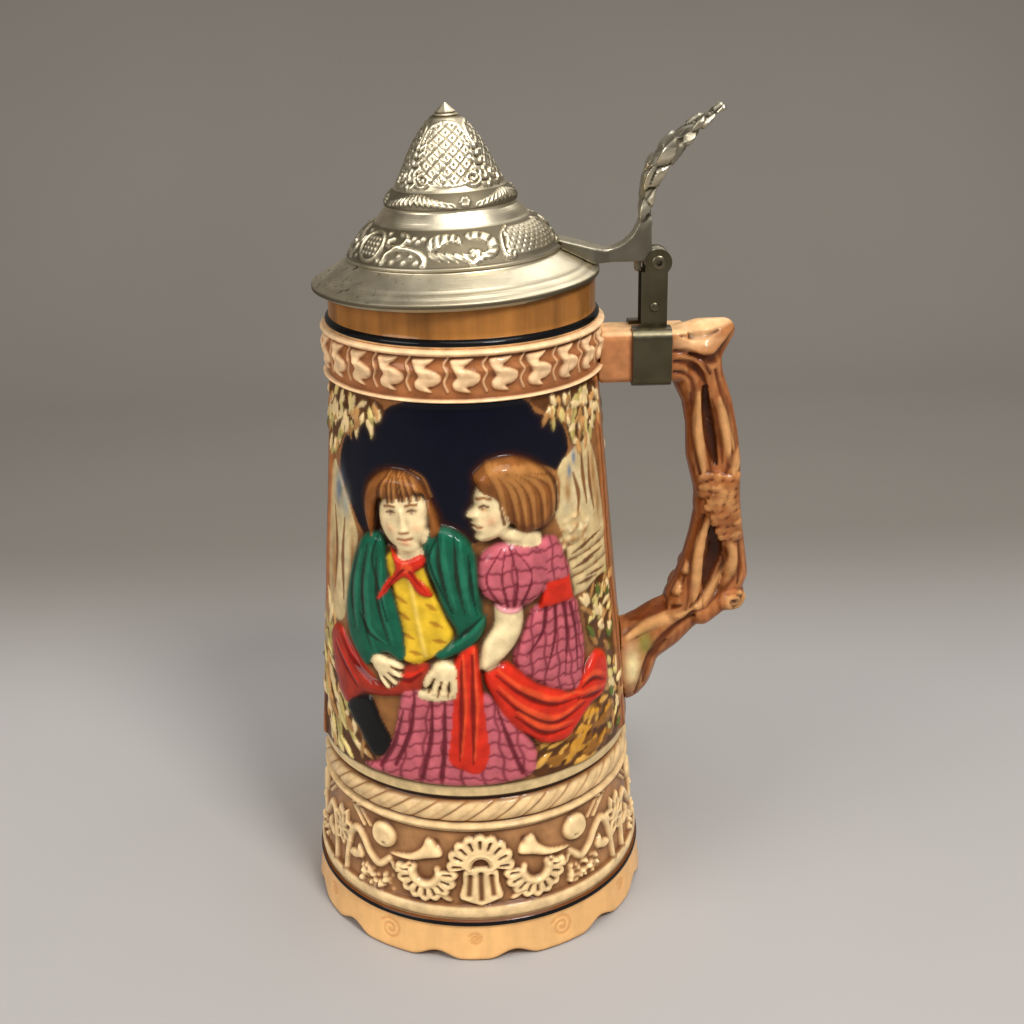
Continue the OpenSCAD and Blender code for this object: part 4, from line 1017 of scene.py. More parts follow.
def dress_woman(relief):
    relief.stamp(curve(SKIRT, True), 1.7, PINK, edge=2.0, crown=1.0)
    # Fold grooves in plum are painted shade; the plaid lines in the same plum are the cloth's pattern.
    for fold in SKIRT_FOLDS:
        relief.ridge(curve(fold), 1.1, -0.6, PLAID_AND_FOLD_SHADE, taper=(0.3, 0.8, 0.7))
    plaid(relief, curve(SKIRT, True), -4, 92, 0.012, (4.3, 4.0), PLAID_AND_FOLD_SHADE)
    for part, level in ((WAIST, 2.0), (BODICE, 2.4)):
        relief.stamp(curve(part, True), level, PINK, edge=2.2, crown=1.0)
    # Waist folds in plum: painted shade.
    for fold in WAIST_FOLDS:
        relief.ridge(curve(fold), 0.9, -0.5, PLAID_AND_FOLD_SHADE, taper=(1, 0.7, 0.2))
    plaid(relief, curve(WAIST, True), 25, 118, 0.008, (3.7, 3.7), PLAID_AND_FOLD_SHADE)
    plaid(relief, curve(BODICE, True), 25, 140, 0.0, (5.2, 3.6), PLAID_AND_FOLD_SHADE)
    relief.stamp(np.array(BAND, float), 2.8, RED, edge=1.2, crown=0.4)
    relief.stamp(curve(SHAWL, True), 2.4, RED, edge=2.2, crown=1.0)
    relief.stamp(curve(SASH, True), 2.7, RED, edge=1.6, crown=0.6)
    # Shawl and sash folds: a lighter red ridge as painted highlight beside a darker red groove as painted
    # shade.
    for fold in SHAWL_FOLDS + SASH_FOLDS:
        relief.ridge(curve(fold) + [0.5, 1.7], 1.5, 0.25, RED_HIGHLIGHT, taper=(0.2, 0.9, 0.2))
        relief.ridge(curve(fold), 1.0, -0.55, RED_SHADE, taper=(0.3, 1, 0.2))
    relief.stamp(curve(FOREARM, True), 2.6, SKIN, edge=2.6, crown=1.3)
    relief.stamp(curve(SLEEVE, True), 2.8, PINK, edge=3.2, crown=1.8)
    # Sleeve folds in plum: painted shade.
    for fold in SLEEVE_FOLDS:
        relief.ridge(curve(fold), 0.7, -0.3, PLAID_AND_FOLD_SHADE, taper=(0.3, 0.5, 1))
    plaid(relief, curve(SLEEVE, True), 12, 140, 0.0, (60, 4.6), PLAID_AND_FOLD_SHADE)
    relief.ridge(curve([(7, 118), (11, 116.6), (16, 116.8), (20, 118.8)]), 0.8, 0.5, paint(226, 150, 150))


draw(dress_woman)

# %% [markdown]
# ### Heads and hands
# The faces are plain and calm, on the proportions that drawing books give: the eyes half way up the head,
# the foot of the nose half way from the eyes to the chin, the mouth a third of the way below it. The man
# looks out of the picture, the woman is seen from the side. Hair lies over the head as a second shape.

# %% Heads
MAN_HEAD = (-20.5, 146)
MAN_TILT = -9
MAN_HAIR = [(-31.6, 136.6), (-34.6, 144), (-33.6, 151), (-28, 155.8), (-21, 157), (-15, 154.8),
            (-11.4, 149), (-8.8, 142), (-11.4, 139.6), (-12.2, 145.6), (-14, 151.4), (-20.4, 150.4),
            (-28.4, 148), (-30.4, 142)]
WOMAN_FACE = [(4.4, 155), (2.2, 152.4), (1.6, 149.6), (1.4, 148), (-0.9, 144.9), (0.9, 144),
              (0.5, 142.9), (1.3, 142.2), (0.9, 141.2), (1.9, 140.2), (1.7, 138.4), (4, 137.2),
              (9, 138.6), (13, 143), (13, 151)]
WOMAN_HAIR = [(1.6, 156.4), (6, 160.2), (13, 161.2), (20, 158.8), (25.4, 154.6), (28, 149), (27.4, 143),
              (24, 139.4), (17, 139), (12.6, 141.6), (10.6, 147), (7, 151), (3.4, 152.8)]
NECK = [(10, 141), (18, 140), (22, 137), (20, 134.6), (13, 136), (8.6, 138)]


def head_point(x, y):
    """A place on the man's tilted head, from its middle, in half heights of the head."""
    a, half = math.radians(MAN_TILT), 12
    return (MAN_HEAD[0] + half * (x * math.cos(a) + y * math.sin(a)),
            MAN_HEAD[1] + half * (y * math.cos(a) - x * math.sin(a)))


def man_head(relief):
    relief.stamp(ellipse(head_point(0.05, -1.02), 4.4, 4), 2.6, SKIN, edge=2)
    relief.stamp(ellipse(head_point(0, -0.14), 8.8, 10.6, -MAN_TILT), 3.0, SKIN, edge=4.5, crown=1.6)
    for side in (-1, 1):
        relief.lump(head_point(0.29 * side, 0.02), 1.9, 1.1, -0.6, paint(206, 160, 110))
        relief.lump(head_point(0.29 * side, -0.01), 1.1, 0.6, 0.4, paint(236, 214, 170))
        relief.lump(head_point(0.29 * side, 0.0), 0.6, 0.6, 0.05, HAIR_DARK)
        lash = [(0.18, 0.03), (0.29, 0.06), (0.41, 0.03)]
        brow = [(0.15, 0.17), (0.3, 0.2), (0.45, 0.17)]
        relief.ridge([head_point(x * side, y) for x, y in lash], 0.4, 0.1, HAIR_DARK)
        relief.ridge([head_point(x * side, y) for x, y in brow], 0.5, 0.3, HAIR)
        relief.lump(head_point(0.36 * side, -0.36), 2.0, 1.8, 0.4, paint(236, 188, 138))
        relief.lump(head_point(0.08 * side, -0.42), 0.8, 0.7, 0.4)
    nose = [head_point(0, y) for y in (0.06, -0.28, -0.4)]
    relief.ridge(nose, 1.3, 1.0, taper=(0.4, 0.8, 1.1))
    relief.ridge([head_point(x, -0.48) for x in (-0.12, 0.12)], 0.5, -0.2, paint(190, 132, 86))
    mouth = [head_point(x, y) for x, y in ((-0.2, -0.64), (0, -0.66), (0.2, -0.64))]
    relief.ridge(curve(mouth), 0.5, -0.4, BLUSH)
    relief.lump(head_point(0, -0.75), 1.9, 0.7, 0.35, paint(214, 146, 110))
    relief.lump(head_point(0, -0.93), 2.0, 1.1, 0.45)
    relief.stamp(curve(MAN_HAIR, True), 4.3, HAIR, edge=2.2, crown=0.9)
    dice = np.random.default_rng(31)
    for k in np.linspace(-0.7, 0.66, 9) + dice.uniform(-0.06, 0.06, 9):
        root, end = head_point(0.4 * k, 0.92), head_point(k * 1.05, 0.3 - 0.1 * abs(k))
        strand = curve([root, head_point(0.84 * k, 0.68), end])
        # Each strand: a lighter ridge as painted highlight beside a darker groove.
        relief.ridge(strand + [0.8, 0.2], 0.8, 0.1, HAIR_HIGHLIGHT, taper=(0.1, 0.7, 0.5))
        relief.ridge(strand, 0.6, -0.2, HAIR_DARK, taper=(0.1, 0.7, 1))


def woman_head(relief):
    relief.stamp(curve(NECK, True), 2.4, SKIN, edge=2, crown=0.5)
    relief.stamp(curve(WOMAN_FACE, True, 4), 3.0, SKIN, edge=2.6, crown=1.2)
    relief.lump((4.4, 147.6), 1.6, 0.9, -0.3, paint(214, 168, 116))
    relief.ridge(curve([(3.0, 148.2), (4.2, 148.8), (5.6, 148.4)]), 0.45, -0.2, HAIR_DARK)
    relief.lump((3.9, 147.9), 0.5, 0.55, 0.05, HAIR_DARK)
    relief.ridge(curve([(2.4, 150.4), (4.2, 151.1), (6.4, 150.6)]), 0.5, 0.25, HAIR)
    relief.ridge(curve([(1.2, 142.4), (2.4, 142.1), (3.6, 142.5)]), 0.45, -0.4, BLUSH)
    relief.lump((6.4, 144.2), 2.4, 2.0, 0.4, paint(234, 182, 136))
    relief.lump((9.6, 146.4), 0.9, 1.4, 0.4, paint(226, 180, 130))
    relief.stamp(curve(WOMAN_HAIR, True), 3.8, HAIR, edge=3.4, crown=1.7)
    dice = np.random.default_rng(32)
    for k in np.linspace(0, 1, 7) + dice.uniform(-0.05, 0.05, 7):
        end = np.array([10.8 + 16.4 * k, 142.6 - 2.6 * math.sin(math.pi * k)])
        start = np.array([5.4 + 11 * k, 159.2 - 1.4 * k])
        strand = curve([start, (start + end) / 2 + [0.5 + 4.6 * k, 2.2], end])
        # Each strand: a lighter ridge as painted highlight beside a darker groove.
        relief.ridge(strand + [1.1, 0.3], 1.6, 0.1, HAIR_HIGHLIGHT, taper=(0.8, 0.6, 0.1))
        relief.ridge(strand, 0.8, -0.16, paint(104, 58, 24), taper=(0.0, 0.4, 0.9))


def lay_heads(relief):
    man_head(relief)
    relief.stamp(curve(CRAVAT, True, 4), 3.4, RED, edge=1.2, crown=0.5)
    # The knot is painted in the lighter red as painted highlight, its folds in the darker red as painted
    # shade.
    relief.stamp(ellipse((-19, 129.6), 1.9, 1.6), 3.9, RED_HIGHLIGHT, edge=1.0)
    for fold in ([(-20, 129), (-23.6, 125), (-27, 120.4)], [(-18, 128.6), (-15, 125), (-12.6, 122.6)]):
        relief.ridge(curve(fold), 0.5, -0.35, RED_SHADE, taper=(1, 0.8, 0.2))
    woman_head(relief)


draw(lay_heads)

# %% Hands
FINGER_GAP = 1.9
FINGERS, BETWEEN = (-1.5, -0.5, 0.5, 1.5), (-1, 0, 1)
# Paint of the grooves between the fingers: painted shade.
SHADE_BETWEEN_FINGERS = paint(134, 80, 44)


def hand(relief, palm, half, turn, point, fan, reach):
    """A resting hand: a round back and four bent fingers side by side, with painted shade between them."""
    relief.stamp(ellipse(palm, *half, turn), 3.0, SKIN, edge=2, crown=0.6)
    for shift in FINGERS + BETWEEN:
        angle = point + fan * shift
        a = math.radians(angle)
        way = np.array([math.cos(a), math.sin(a)])
        root = np.array(palm) + 0.3 * half[0] * way + FINGER_GAP * shift * np.array([-way[1], way[0]])
        length = reach * (1 - 0.07 * abs(shift + 0.3))
        if shift in FINGERS:
            relief.stamp(ellipse(root + way * length / 2, length / 2 + 0.9, 1.25, angle), 3.4, SKIN, edge=1)
        else:
            # The lines between the fingers are painted shade.
            line = [root + 0.2 * length * way, root + (length + 1.1) * way]
            relief.ridge(line, 0.42, -0.8, SHADE_BETWEEN_FINGERS)


def lay_hands(relief):
    hand(relief, (-27, 97), (4.6, 3.6), -20, -34, 9, 4.4)
    relief.stamp(ellipse((-10.6, 90.6), 5.6, 1.8, 4), 2.4, SKIN, edge=1.1, crown=0.3)
    hand(relief, (-8.6, 97.6), (4.4, 3.6), 60, -103, 7, 5.2)


draw(lay_hands)

# %% [markdown]
# ### The far side of the panel
# The photograph doesn't show what is behind the handle and on the back, so it gets a plain landscape in
# the same paints: a second stretch of sky with hills under it, a tree, and leaves along the ground.

# %% Landscape on the far side
FAR = AROUND / 2
FAR_SKY = [(-50, 150), (-40, 166), (-22, 174), (0, 176), (22, 174), (40, 166), (50, 150), (48, 132),
           (26, 124), (6, 130), (-16, 122), (-44, 130)]
HILLS = [[(-60, 100), (-40, 122), (-14, 116), (8, 128), (30, 118), (60, 104), (60, 84), (-60, 84)],
         [(-60, 80), (-34, 100), (-6, 92), (26, 104), (60, 88), (60, 62), (-60, 62)]]
CROWN = [(-26, 118), (-24, 138), (-10, 150), (10, 152), (26, 140), (28, 122), (12, 124), (0, 132),
         (-12, 120)]
LEFT_FERNS = [(-58, 84), (-44, 78), (-28, 70), (-20, 61), (-58, 61)]
RIGHT_FERNS = [(20, 62), (30, 74), (46, 80), (60, 78), (60, 61)]
BOUGHS = [(-10, 176), (10, 176), (11, 150), (3, 130), (-6, 140), (-11, 156)]
BUSH = [(-10, 104), (9, 98), (10, 62), (-10, 62)]
TREE_BROWN = paint(132, 80, 40)
MOSSY = LEAF_PAINTS + [MOSS]


def lay_far_side(relief):
    shift = np.array([FAR, 0])
    relief.stamp(curve(FAR_SKY, True) + shift, -0.5, NAVY, edge=0.8)
    for hill, level, colour in zip(HILLS, (0.4, 0.8), (STONE, paint(190, 160, 96))):
        relief.stamp(curve(hill, True) + shift, level, colour, edge=3.0, crown=0.6)
    for u0 in (-30, -12, 14, 34):
        gully = curve([(u0, 108), (u0 + 4, 96), (u0 + 2, 82)]) + shift
        relief.ridge(gully, 1.0, -0.5, BROWN, taper=(0.3, 1, 0.2))
    relief.ridge(curve([(3, 62), (1.4, 84), (2.6, 104), (-2, 132)]) + shift, 3.0, 1.6, TREE_BROWN)
    for limb in ([(2.4, 106), (9, 118), (17, 126)], [(1.6, 100), (-8, 114), (-15, 120)]):
        relief.ridge(curve(limb) + shift, 1.6, 1.2, TREE_BROWN, taper=(1, 0.5))
    foliage(relief, np.add(CROWN, shift), 90, 60, 120, 8, MOSSY + [MOSS], (4, 6.5))
    foliage(relief, np.add(LEFT_FERNS, shift), 60, 95, 45, 9, MOSSY)
    foliage(relief, np.add(RIGHT_FERNS, shift), 60, 90, 45, 10, MOSSY)
    for u0, seed in ((-85, 12), (85, 13)):
        foliage(relief, np.add(BOUGHS, (u0, 0)), 70, -90, 60, seed, MOSSY)
        foliage(relief, np.add(BUSH, (u0, 0)), 60, 90, 50, seed + 4, MOSSY)


draw(lay_far_side)

# %% Wash the panel and roll it up
def finish_panel(relief):
    relief.h = 0.5 * (relief.h + blur(relief.h, 1, False))
    relief.wash(3, 0.9, paint(58, 26, 10))
    soft = np.stack([blur(relief.colour[..., k], 1, False) for k in range(3)], -1)
    relief.colour = 0.7 * relief.colour + 0.3 * soft
    low = relief.z < LEDGE_TOP
    relief.h = np.where(low, 0.0, relief.h)
    relief.colour[low] = paint(236, 204, 146)
    relief.colour[relief.z < LEDGE_LINE] = paint(30, 20, 14)
    seam = np.exp(-((relief.z - LEDGE_TOP) / 0.5) ** 2)[..., None]
    relief.colour = relief.colour * (1 - 0.6 * seam) + DARK * 0.6 * seam
    top = np.clip((relief.z - TOP_FADE) / 1.2, 0, 1)
    relief.h = 0.88 * relief.h * (1 - top)
    return relief


pictures = []
for name, part in (("picture_front", front), ("picture_back", back)):
    made = slab(name, finish_panel(part), wall_radius, PANEL_UNROLL, ends=True, pull=0.8)
    made.data.materials.append(relief_glaze)
    pictures.append(made)
    print(f"{name}: about {2 * len(made.data.polygons)} triangles")

# %% [markdown]
# ## The branch handle
# The handle is cast as two branches that cross, with a squared bar on top and a root below. Its forms are
# already in the CAD solid, so we copy that mesh, weld it, and rebuild it with even small faces that can
# carry relief. The relief is drawn on the side view, with the same strokes as the panel, and pushes the
# front and the back alike. The wash is darker where the surface is hollow: the hollows are found by
# smoothing a copy of the surface and asking where the smooth one lies outside.

# %% Copies of CAD meshes that can carry relief
def merged_copy(node, name):
    """A welded copy of a CAD node's mesh, without its materials."""
    made = bpy.data.objects.new(name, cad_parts[node].data.copy())
    bpy.context.scene.collection.objects.link(made)
    work = bmesh.new()
    work.from_mesh(made.data)
    bmesh.ops.remove_doubles(work, verts=work.verts, dist=1e-6)
    work.to_mesh(made.data)
    work.free()
    made.data.materials.clear()
    return made


def rebuilt(piece, voxel, rounds):
    """Rebuilds a closed mesh with even faces of about a size in millimetres, and smooths it."""
    remesh = piece.modifiers.new("even", "REMESH")
    remesh.mode = "VOXEL"
    remesh.voxel_size = voxel * MM
    remesh.use_smooth_shade = True
    smooth = piece.modifiers.new("soft", "SMOOTH")
    smooth.iterations = rounds
    return baked(piece)


def mesh_arrays(mesh):
    """Places in millimetres, normals and edges of a mesh."""
    places = np.empty(3 * len(mesh.vertices), np.float32)
    normals = np.empty_like(places)
    edges = np.empty(2 * len(mesh.edges), np.int32)
    mesh.vertices.foreach_get("co", places)
    mesh.vertex_normals.foreach_get("vector", normals)
    mesh.edges.foreach_get("vertices", edges)
    places = places.reshape(-1, 3).astype(float) / MM
    return places, normals.reshape(-1, 3).astype(float), edges.reshape(-1, 2)


def spread(values, edges, rounds):
    """Averages what is stored at the vertices with their neighbours, some rounds over."""
    ends = np.concatenate([edges[:, 0], edges[:, 1]])
    others = np.concatenate([edges[:, 1], edges[:, 0]])
    n = len(values)
    count = np.bincount(ends, minlength=n)
    for _ in range(rounds):
        around = [np.bincount(ends, values[others, k], n) / count for k in range(values.shape[1])]
        values = (values + np.stack(around, -1)) / 2
    return values


def hollows(mesh, rounds):
    """How far the smoothed surface lies outside each vertex, in millimetres."""
    places, normals, edges = mesh_arrays(mesh)
    return ((spread(places, edges, rounds) - places) * normals).sum(1)


def push(mesh, heights):
    """Moves the vertices of a mesh along their normals, by heights in millimetres."""
    places, normals, _ = mesh_arrays(mesh)
    moved = (places + normals * heights[:, None]) * MM
    mesh.vertices.foreach_set("co", moved.astype(np.float32).ravel())
    mesh.update()


handle = rebuilt(merged_copy("handle", "branch_handle"), 0.55, 6)
print("branch_handle:", 2 * len(handle.data.polygons), "triangles")

# %% Strokes of the handle
WOOD, WOOD_LIGHT = paint(158, 88, 44), paint(212, 154, 96)
WOOD_DARK, WOOD_DEEP = paint(112, 54, 24), paint(72, 34, 14)
DEEP_CUTS = [[(72.2, 169.6), (73.4, 160), (75.2, 151), (76.6, 144.6)],
             [(67.4, 180.2), (71.6, 178.8), (75.6, 178.8), (79, 181.8), (82, 186)]]
CUTS = [[(62.2, 181.6), (66.6, 180.8), (70.4, 178.6), (73.6, 174)],
        [(62.2, 178.4), (66.6, 177.6), (70.4, 174.6), (72.8, 169.6)],
        [(62.2, 175.2), (65.8, 174.4), (68.4, 171.4), (69, 165), (68.8, 156), (70.4, 146), (73.2, 137)],
        [(75.4, 175), (78, 167), (80.4, 158), (81.6, 148)],
        [(73.4, 128), (70.8, 119.4), (68.6, 111), (67.2, 105)],
        [(85.2, 119), (85.6, 111), (84.8, 104)], [(71, 93.6), (64, 89.6), (58, 83), (54, 74), (52, 67)],
        [(66.4, 97.6), (59, 95), (52, 91.6), (47, 90.4)], [(62, 85.6), (57, 79), (54.6, 71)],
        [(64.6, 186), (70, 185.4), (76, 186.6)]]
CRESTS = [[(70.4, 168), (70.4, 160), (70.8, 154), (72.2, 146), (72.8, 141.6)],
          [(77, 166), (79, 158), (80.6, 150), (81, 145)], [(84.2, 149.4), (83.4, 145), (82, 141.4)],
          [(74.8, 126.4), (72.6, 119), (71.8, 110), (71.6, 101), (71.2, 96)],
          [(71.2, 96), (66, 94), (58, 91.2), (49.6, 86.6)],
          [(80.6, 121), (83.2, 114), (81.6, 107.6), (77, 101.4), (72, 96.2)]]
FORK_GAP = [(75.6, 125), (78.2, 121), (79.8, 114), (77.8, 106.4), (74.4, 100.6), (73.6, 108), (74, 117)]
BARK = [(72.2, 141.6), (76, 142), (80, 141.2), (84.4, 141.6), (85.4, 134), (86, 127), (86.2, 120.4),
        (82, 119), (79.4, 119.8), (77.4, 124), (75.2, 129), (73.4, 134), (72, 138)]
# Colour-only spots: the two light ones are painted highlights, on the top of the bar and on the root; the
# greenish one is a tint of the glaze.
HIGHLIGHTS_AND_GREEN_TINT = [((69, 184), (9.0, 2.4), paint(234, 184, 130)), ((51, 78), (3.0, 7.0), paint(240, 220, 160)),
         ((55.4, 85), (2.4, 4.0), paint(150, 150, 72))]
CURL = (83.6, 98)
BAR_FROM, BAR_TO, BAR_LOW, TOP_LOW = 37, 62, 168, 172


def carve_handle(mesh):
    """Draws the handle's relief over its side view. Faces that look sideways take less of it."""
    places, normals, edges = mesh_arrays(mesh)
    relief = Relief(places[:, 0], places[:, 2], WOOD)
    across = np.where(places[:, 2] > TOP_LOW, places[:, 2], places[:, 0])
    grain = np.sin(2.2 * across + 1.6 * np.sin(places[:, 2] / 5) + 0.8 * np.sin(places[:, 1]))
    streaked = np.where(grain[:, None] > 0, WOOD_LIGHT, WOOD_DARK)
    relief.colour += (streaked - WOOD) * (0.3 * np.abs(grain))[:, None]
    relief.stamp(curve(FORK_GAP, True), -1.9, WOOD_DEEP, edge=1.8)
    for path in DEEP_CUTS:
        relief.ridge(curve(path), 2.0, -1.3, WOOD_DEEP, taper=(0.4, 1, 1, 0.4))
    for path in CUTS:
        relief.ridge(curve(path), 1.5, -0.7, WOOD_DARK, taper=(0.4, 1, 0.8, 0.3))
    for path in CRESTS:
        for beside in (-2.6, 2.6):
            relief.ridge(curve(path) + [beside, 0], 1.4, -0.3, WOOD_DARK, taper=(0.2, 1, 0.8, 0.2))
        relief.ridge(curve(path), 2.2, 0.5, WOOD_LIGHT, taper=(0.3, 1, 0.9, 0.4))
    for spot, half, turn in (((64.4, 103.4), (2.6, 3.2), 24), ((67, 110.6), (2.0, 3.4), 16)):
        relief.stamp(ellipse(spot, *half, turn), 1.5, WOOD_LIGHT, edge=1.6)
    relief.stamp(curve(BARK, True), 0.7, paint(158, 94, 48), edge=1.4)
    dice = np.random.default_rng(21)
    for row in range(9):
        z = 140.2 - 2.4 * row
        left = np.interp(z, [119, 129, 138, 142], [79, 75, 72.6, 72])
        for x in np.arange(left + (row % 2) * 1.3, 86, 2.7):
            spot = np.array([x, z]) + dice.uniform(-0.7, 0.7, 2)
            tint = (paint(190, 132, 78), paint(168, 104, 56), paint(138, 76, 38))[dice.integers(3)]
            scale = ellipse(spot, dice.uniform(1.3, 2.0), dice.uniform(0.9, 1.5), dice.uniform(-60, 60))
            relief.stamp(scale, dice.uniform(0.7, 1.15), tint, edge=0.7)
            relief.lump(spot + (1.2, -1.0), 0.7, 0.6, -0.4, paint(122, 54, 26))
    relief.stamp(ellipse(CURL, 4.4, 4.2), 0.8, WOOD, edge=1.2)
    relief.ridge(spiral(CURL, 3.5, 1.5, 60, -1), 0.95, 0.8, WOOD_LIGHT)
    relief.lump(CURL, 0.8, 0.8, -0.9, WOOD_DEEP)
    # Painted highlights and a green tint, laid as colour only.
    for centre, size, colour in HIGHLIGHTS_AND_GREEN_TINT:
        relief.lump(centre, *size, 0.0, colour)
    relief.colour = spread(relief.colour, edges, 5)
    facing = np.clip((np.abs(normals[:, 1]) - 0.25) / 0.4, 0, 1)
    squared = places[:, 0] < BAR_TO
    block = squared & (places[:, 2] > BAR_LOW)
    relief.h = np.where(block, 0, relief.h * facing)
    relief.colour = WOOD + (relief.colour - WOOD) * np.where(squared, 1, facing)[:, None]
    # The bar darkens towards the strap and towards the mug: painted shade where the parts meet.
    strap_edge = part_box("hinge_strap")[0].x / MM
    to_end = np.minimum(strap_edge - places[:, 0], places[:, 0] - BAR_FROM)
    painted_end_shade = np.clip(1 - to_end / 1.4, 0, 0.6)[:, None]
    bar = paint(190, 126, 78) * (1 - painted_end_shade) + WOOD_DARK * painted_end_shade
    relief.colour[block] = bar[block]
    # Faces of the bar and knob that look up are lightened: a painted highlight from the light above.
    top = np.clip((normals[:, 2] - 0.5) / 0.3, 0, 1) * (places[:, 2] > BAR_LOW)
    relief.colour += (paint(236, 188, 132) - relief.colour) * 0.9 * top[:, None]
    side = np.clip((np.abs(normals[:, 0]) - 0.5) / 0.3, 0, 1) * ~squared
    streak = 0.5 + 0.5 * np.sin(1.9 * places[:, 1] + 1.3 * np.sin(places[:, 2] / 6.3))
    tint = np.where(streak[:, None] > 0.6, WOOD_LIGHT, WOOD_DARK)
    relief.colour += (tint - relief.colour) * (0.5 * side * np.abs(streak - 0.6))[:, None]
    push(mesh, relief.h)
    return relief.colour


def wash_hollows(mesh, colour, dark, light, strength, rounds=10):
    """Darkens the hollows of a mesh with a wash and lightens its edges as painted highlight."""
    depth = hollows(mesh, rounds)
    share = np.clip(depth * strength, 0, 0.88)[:, None]
    # Edges are lightened towards the light colour: a painted highlight.
    lit = np.clip(-depth * strength * 0.4, 0, 0.4)[:, None]
    return colour + (dark - colour) * share + (light - colour) * lit


bark_paint = carve_handle(handle.data)
store(handle.data, "paint", wash_hollows(handle.data, bark_paint, WOOD_DEEP, WOOD_LIGHT, 2.8))
handle.data.materials.append(relief_glaze)
print("branch_handle:", len(CUTS) + len(DEEP_CUTS), "cuts and", len(CRESTS), "crests drawn")

# %% [markdown]
# ## Metals
# The lid and its lever are cast in a soft grey metal with a warm tone, polished on top and dark in the
# hollows, where polish and grime stay. Two values at the vertices tell the shader about that: `hollow`
# says how deep a place lies, and also holds painted shade on the lid's lip and under the lever; `turned`
# runs along the profile, so that noise over it alone draws the fine rings of the lathe. Specks of tarnish
# sit on one side of the brim. The strap is plain rolled steel.

# %% Metal finishes
def mix(tree, share, first, second):
    """Mixes two colours, each a socket or linear values, by a share."""
    ends = [(key, value if isinstance(value, bpy.types.NodeSocket) else (*value, 1))
            for key, value in (("A", first), ("B", second))]
    return add_node(tree, "ShaderNodeMix", [("Factor", share)] + ends, data_type="RGBA").outputs["Result"]


def calculate(tree, operation, first, second):
    """Adds or multiplies two values, or takes the greater one, and keeps it between 0 and 1."""
    made = add_node(tree, "ShaderNodeMath", [(0, first), (1, second)], operation=operation, use_clamp=True)
    return made.outputs[0]


def cast_metal(name, bright, dull, grime, tarnish):
    """Soft cast metal: bright where it is rubbed, grimy in the hollows, with specks of tarnish."""
    material, tree, shader = new_material(name)
    cloud = remap(tree, object_noise(tree, 60, detail=6.0), 0.0, 1.0)
    specks = remap(tree, object_noise(tree, 520, detail=6.0), 0.0, 0.9, 0.5, 0.68)
    film = remap(tree, object_noise(tree, 90, detail=5.0), 0.0, tarnish)
    spots = attribute(tree, "tarnish")
    stain = calculate(tree, "MULTIPLY", specks, spots)
    haze = calculate(tree, "MULTIPLY", film, spots)
    share = calculate(tree, "MAXIMUM", calculate(tree, "MAXIMUM", stain, haze), attribute(tree, "hollow"))
    colour = mix(tree, share, mix(tree, cloud, bright, dull), grime)
    polish = remap(tree, object_noise(tree, 160), 0.26, 0.38)
    rough = calculate(tree, "ADD", polish, calculate(tree, "MULTIPLY", share, 0.3))
    rings = [("W", attribute(tree, "turned")), ("Scale", 3.0), ("Detail", 3.0)]
    marks = add_node(tree, "ShaderNodeTexNoise", rings, noise_dimensions="1D").outputs["Fac"]
    grain = calculate(tree, "ADD", marks, calculate(tree, "MULTIPLY", object_noise(tree, 900), 0.4))
    set_inputs(tree, shader, [("Base Color", colour), ("Roughness", rough), ("Metallic", 1.0),
                              ("Normal", bump(tree, grain, 0.16, 0.0003))])
    return material


def rolled_steel(name, bright, dull, stretch):
    """Plain steel sheet with a fine grain along one direction and a dull film."""
    material, tree, shader = new_material(name)
    film = remap(tree, object_noise(tree, 70, detail=6.0), 0.0, 1.0)
    grain = object_noise(tree, 420, stretch, 3.0)
    set_inputs(tree, shader, [("Base Color", mix(tree, film, bright, dull)),
                              ("Roughness", remap(tree, grain, 0.28, 0.46)), ("Metallic", 1.0),
                              ("Normal", bump(tree, grain, 0.1, 0.0002))])
    return material


PEWTER, PEWTER_DULL, GRIME = paint(246, 233, 202), paint(218, 203, 168), paint(66, 55, 34)
pewter = cast_metal("aged_pewter", PEWTER, PEWTER_DULL, GRIME, 0.7)
lever_cast = cast_metal("lever_casting", paint(234, 224, 200), paint(178, 166, 136), paint(44, 37, 24), 0.6)
strap_steel = rolled_steel("strap_steel", paint(108, 100, 79), paint(84, 77, 58), (1, 1, 0.08))
pin_steel = rolled_steel("pin_steel", paint(120, 112, 92), paint(92, 84, 68), (1, 0.1, 1))
print("metals:", pewter.name, lever_cast.name, strap_steel.name, pin_steel.name)

# %% [markdown]
# ## The lid
# The lid is pressed from sheet: a plain brim, a band of curled leaves with two dotted panels, a polished
# belt, a band of leaves, and a cone with four lattice panels. One half is built as a grid over the profile
# that the CAD lid has, pushed out along the profile's normal, and the ring tree repeats it. The upper bands
# repeat within the half. It is built about the lid's own axis, and the finished mesh is moved to where the
# lid sits, a little tilted and off the middle.

# %% Profile of the lid
LID_LEAN = Matrix.Rotation(math.radians(-1.8), 4, "Y")
LID_PLACE = Matrix.Translation(Vector((-1.6, 0, 205.047)) * MM) @ LID_LEAN
LID_SHEET = 1.1
SPIGOT_HOLE = 1.45
lid_heights, lid_radii = outside_profile("lid_shell", -2, LID_PLACE)
lid_line = np.stack([lid_radii, lid_heights], -1)
lid_along = np.append(0, np.cumsum(np.hypot(*np.diff(lid_line, axis=0).T)))
print("lid profile:", np.round(lid_line[::4], 1).tolist(), "length", round(lid_along[-1], 1))


def along_lid(z):
    """How far along the lid's profile a height lies."""
    return np.interp(z, lid_heights, lid_along)


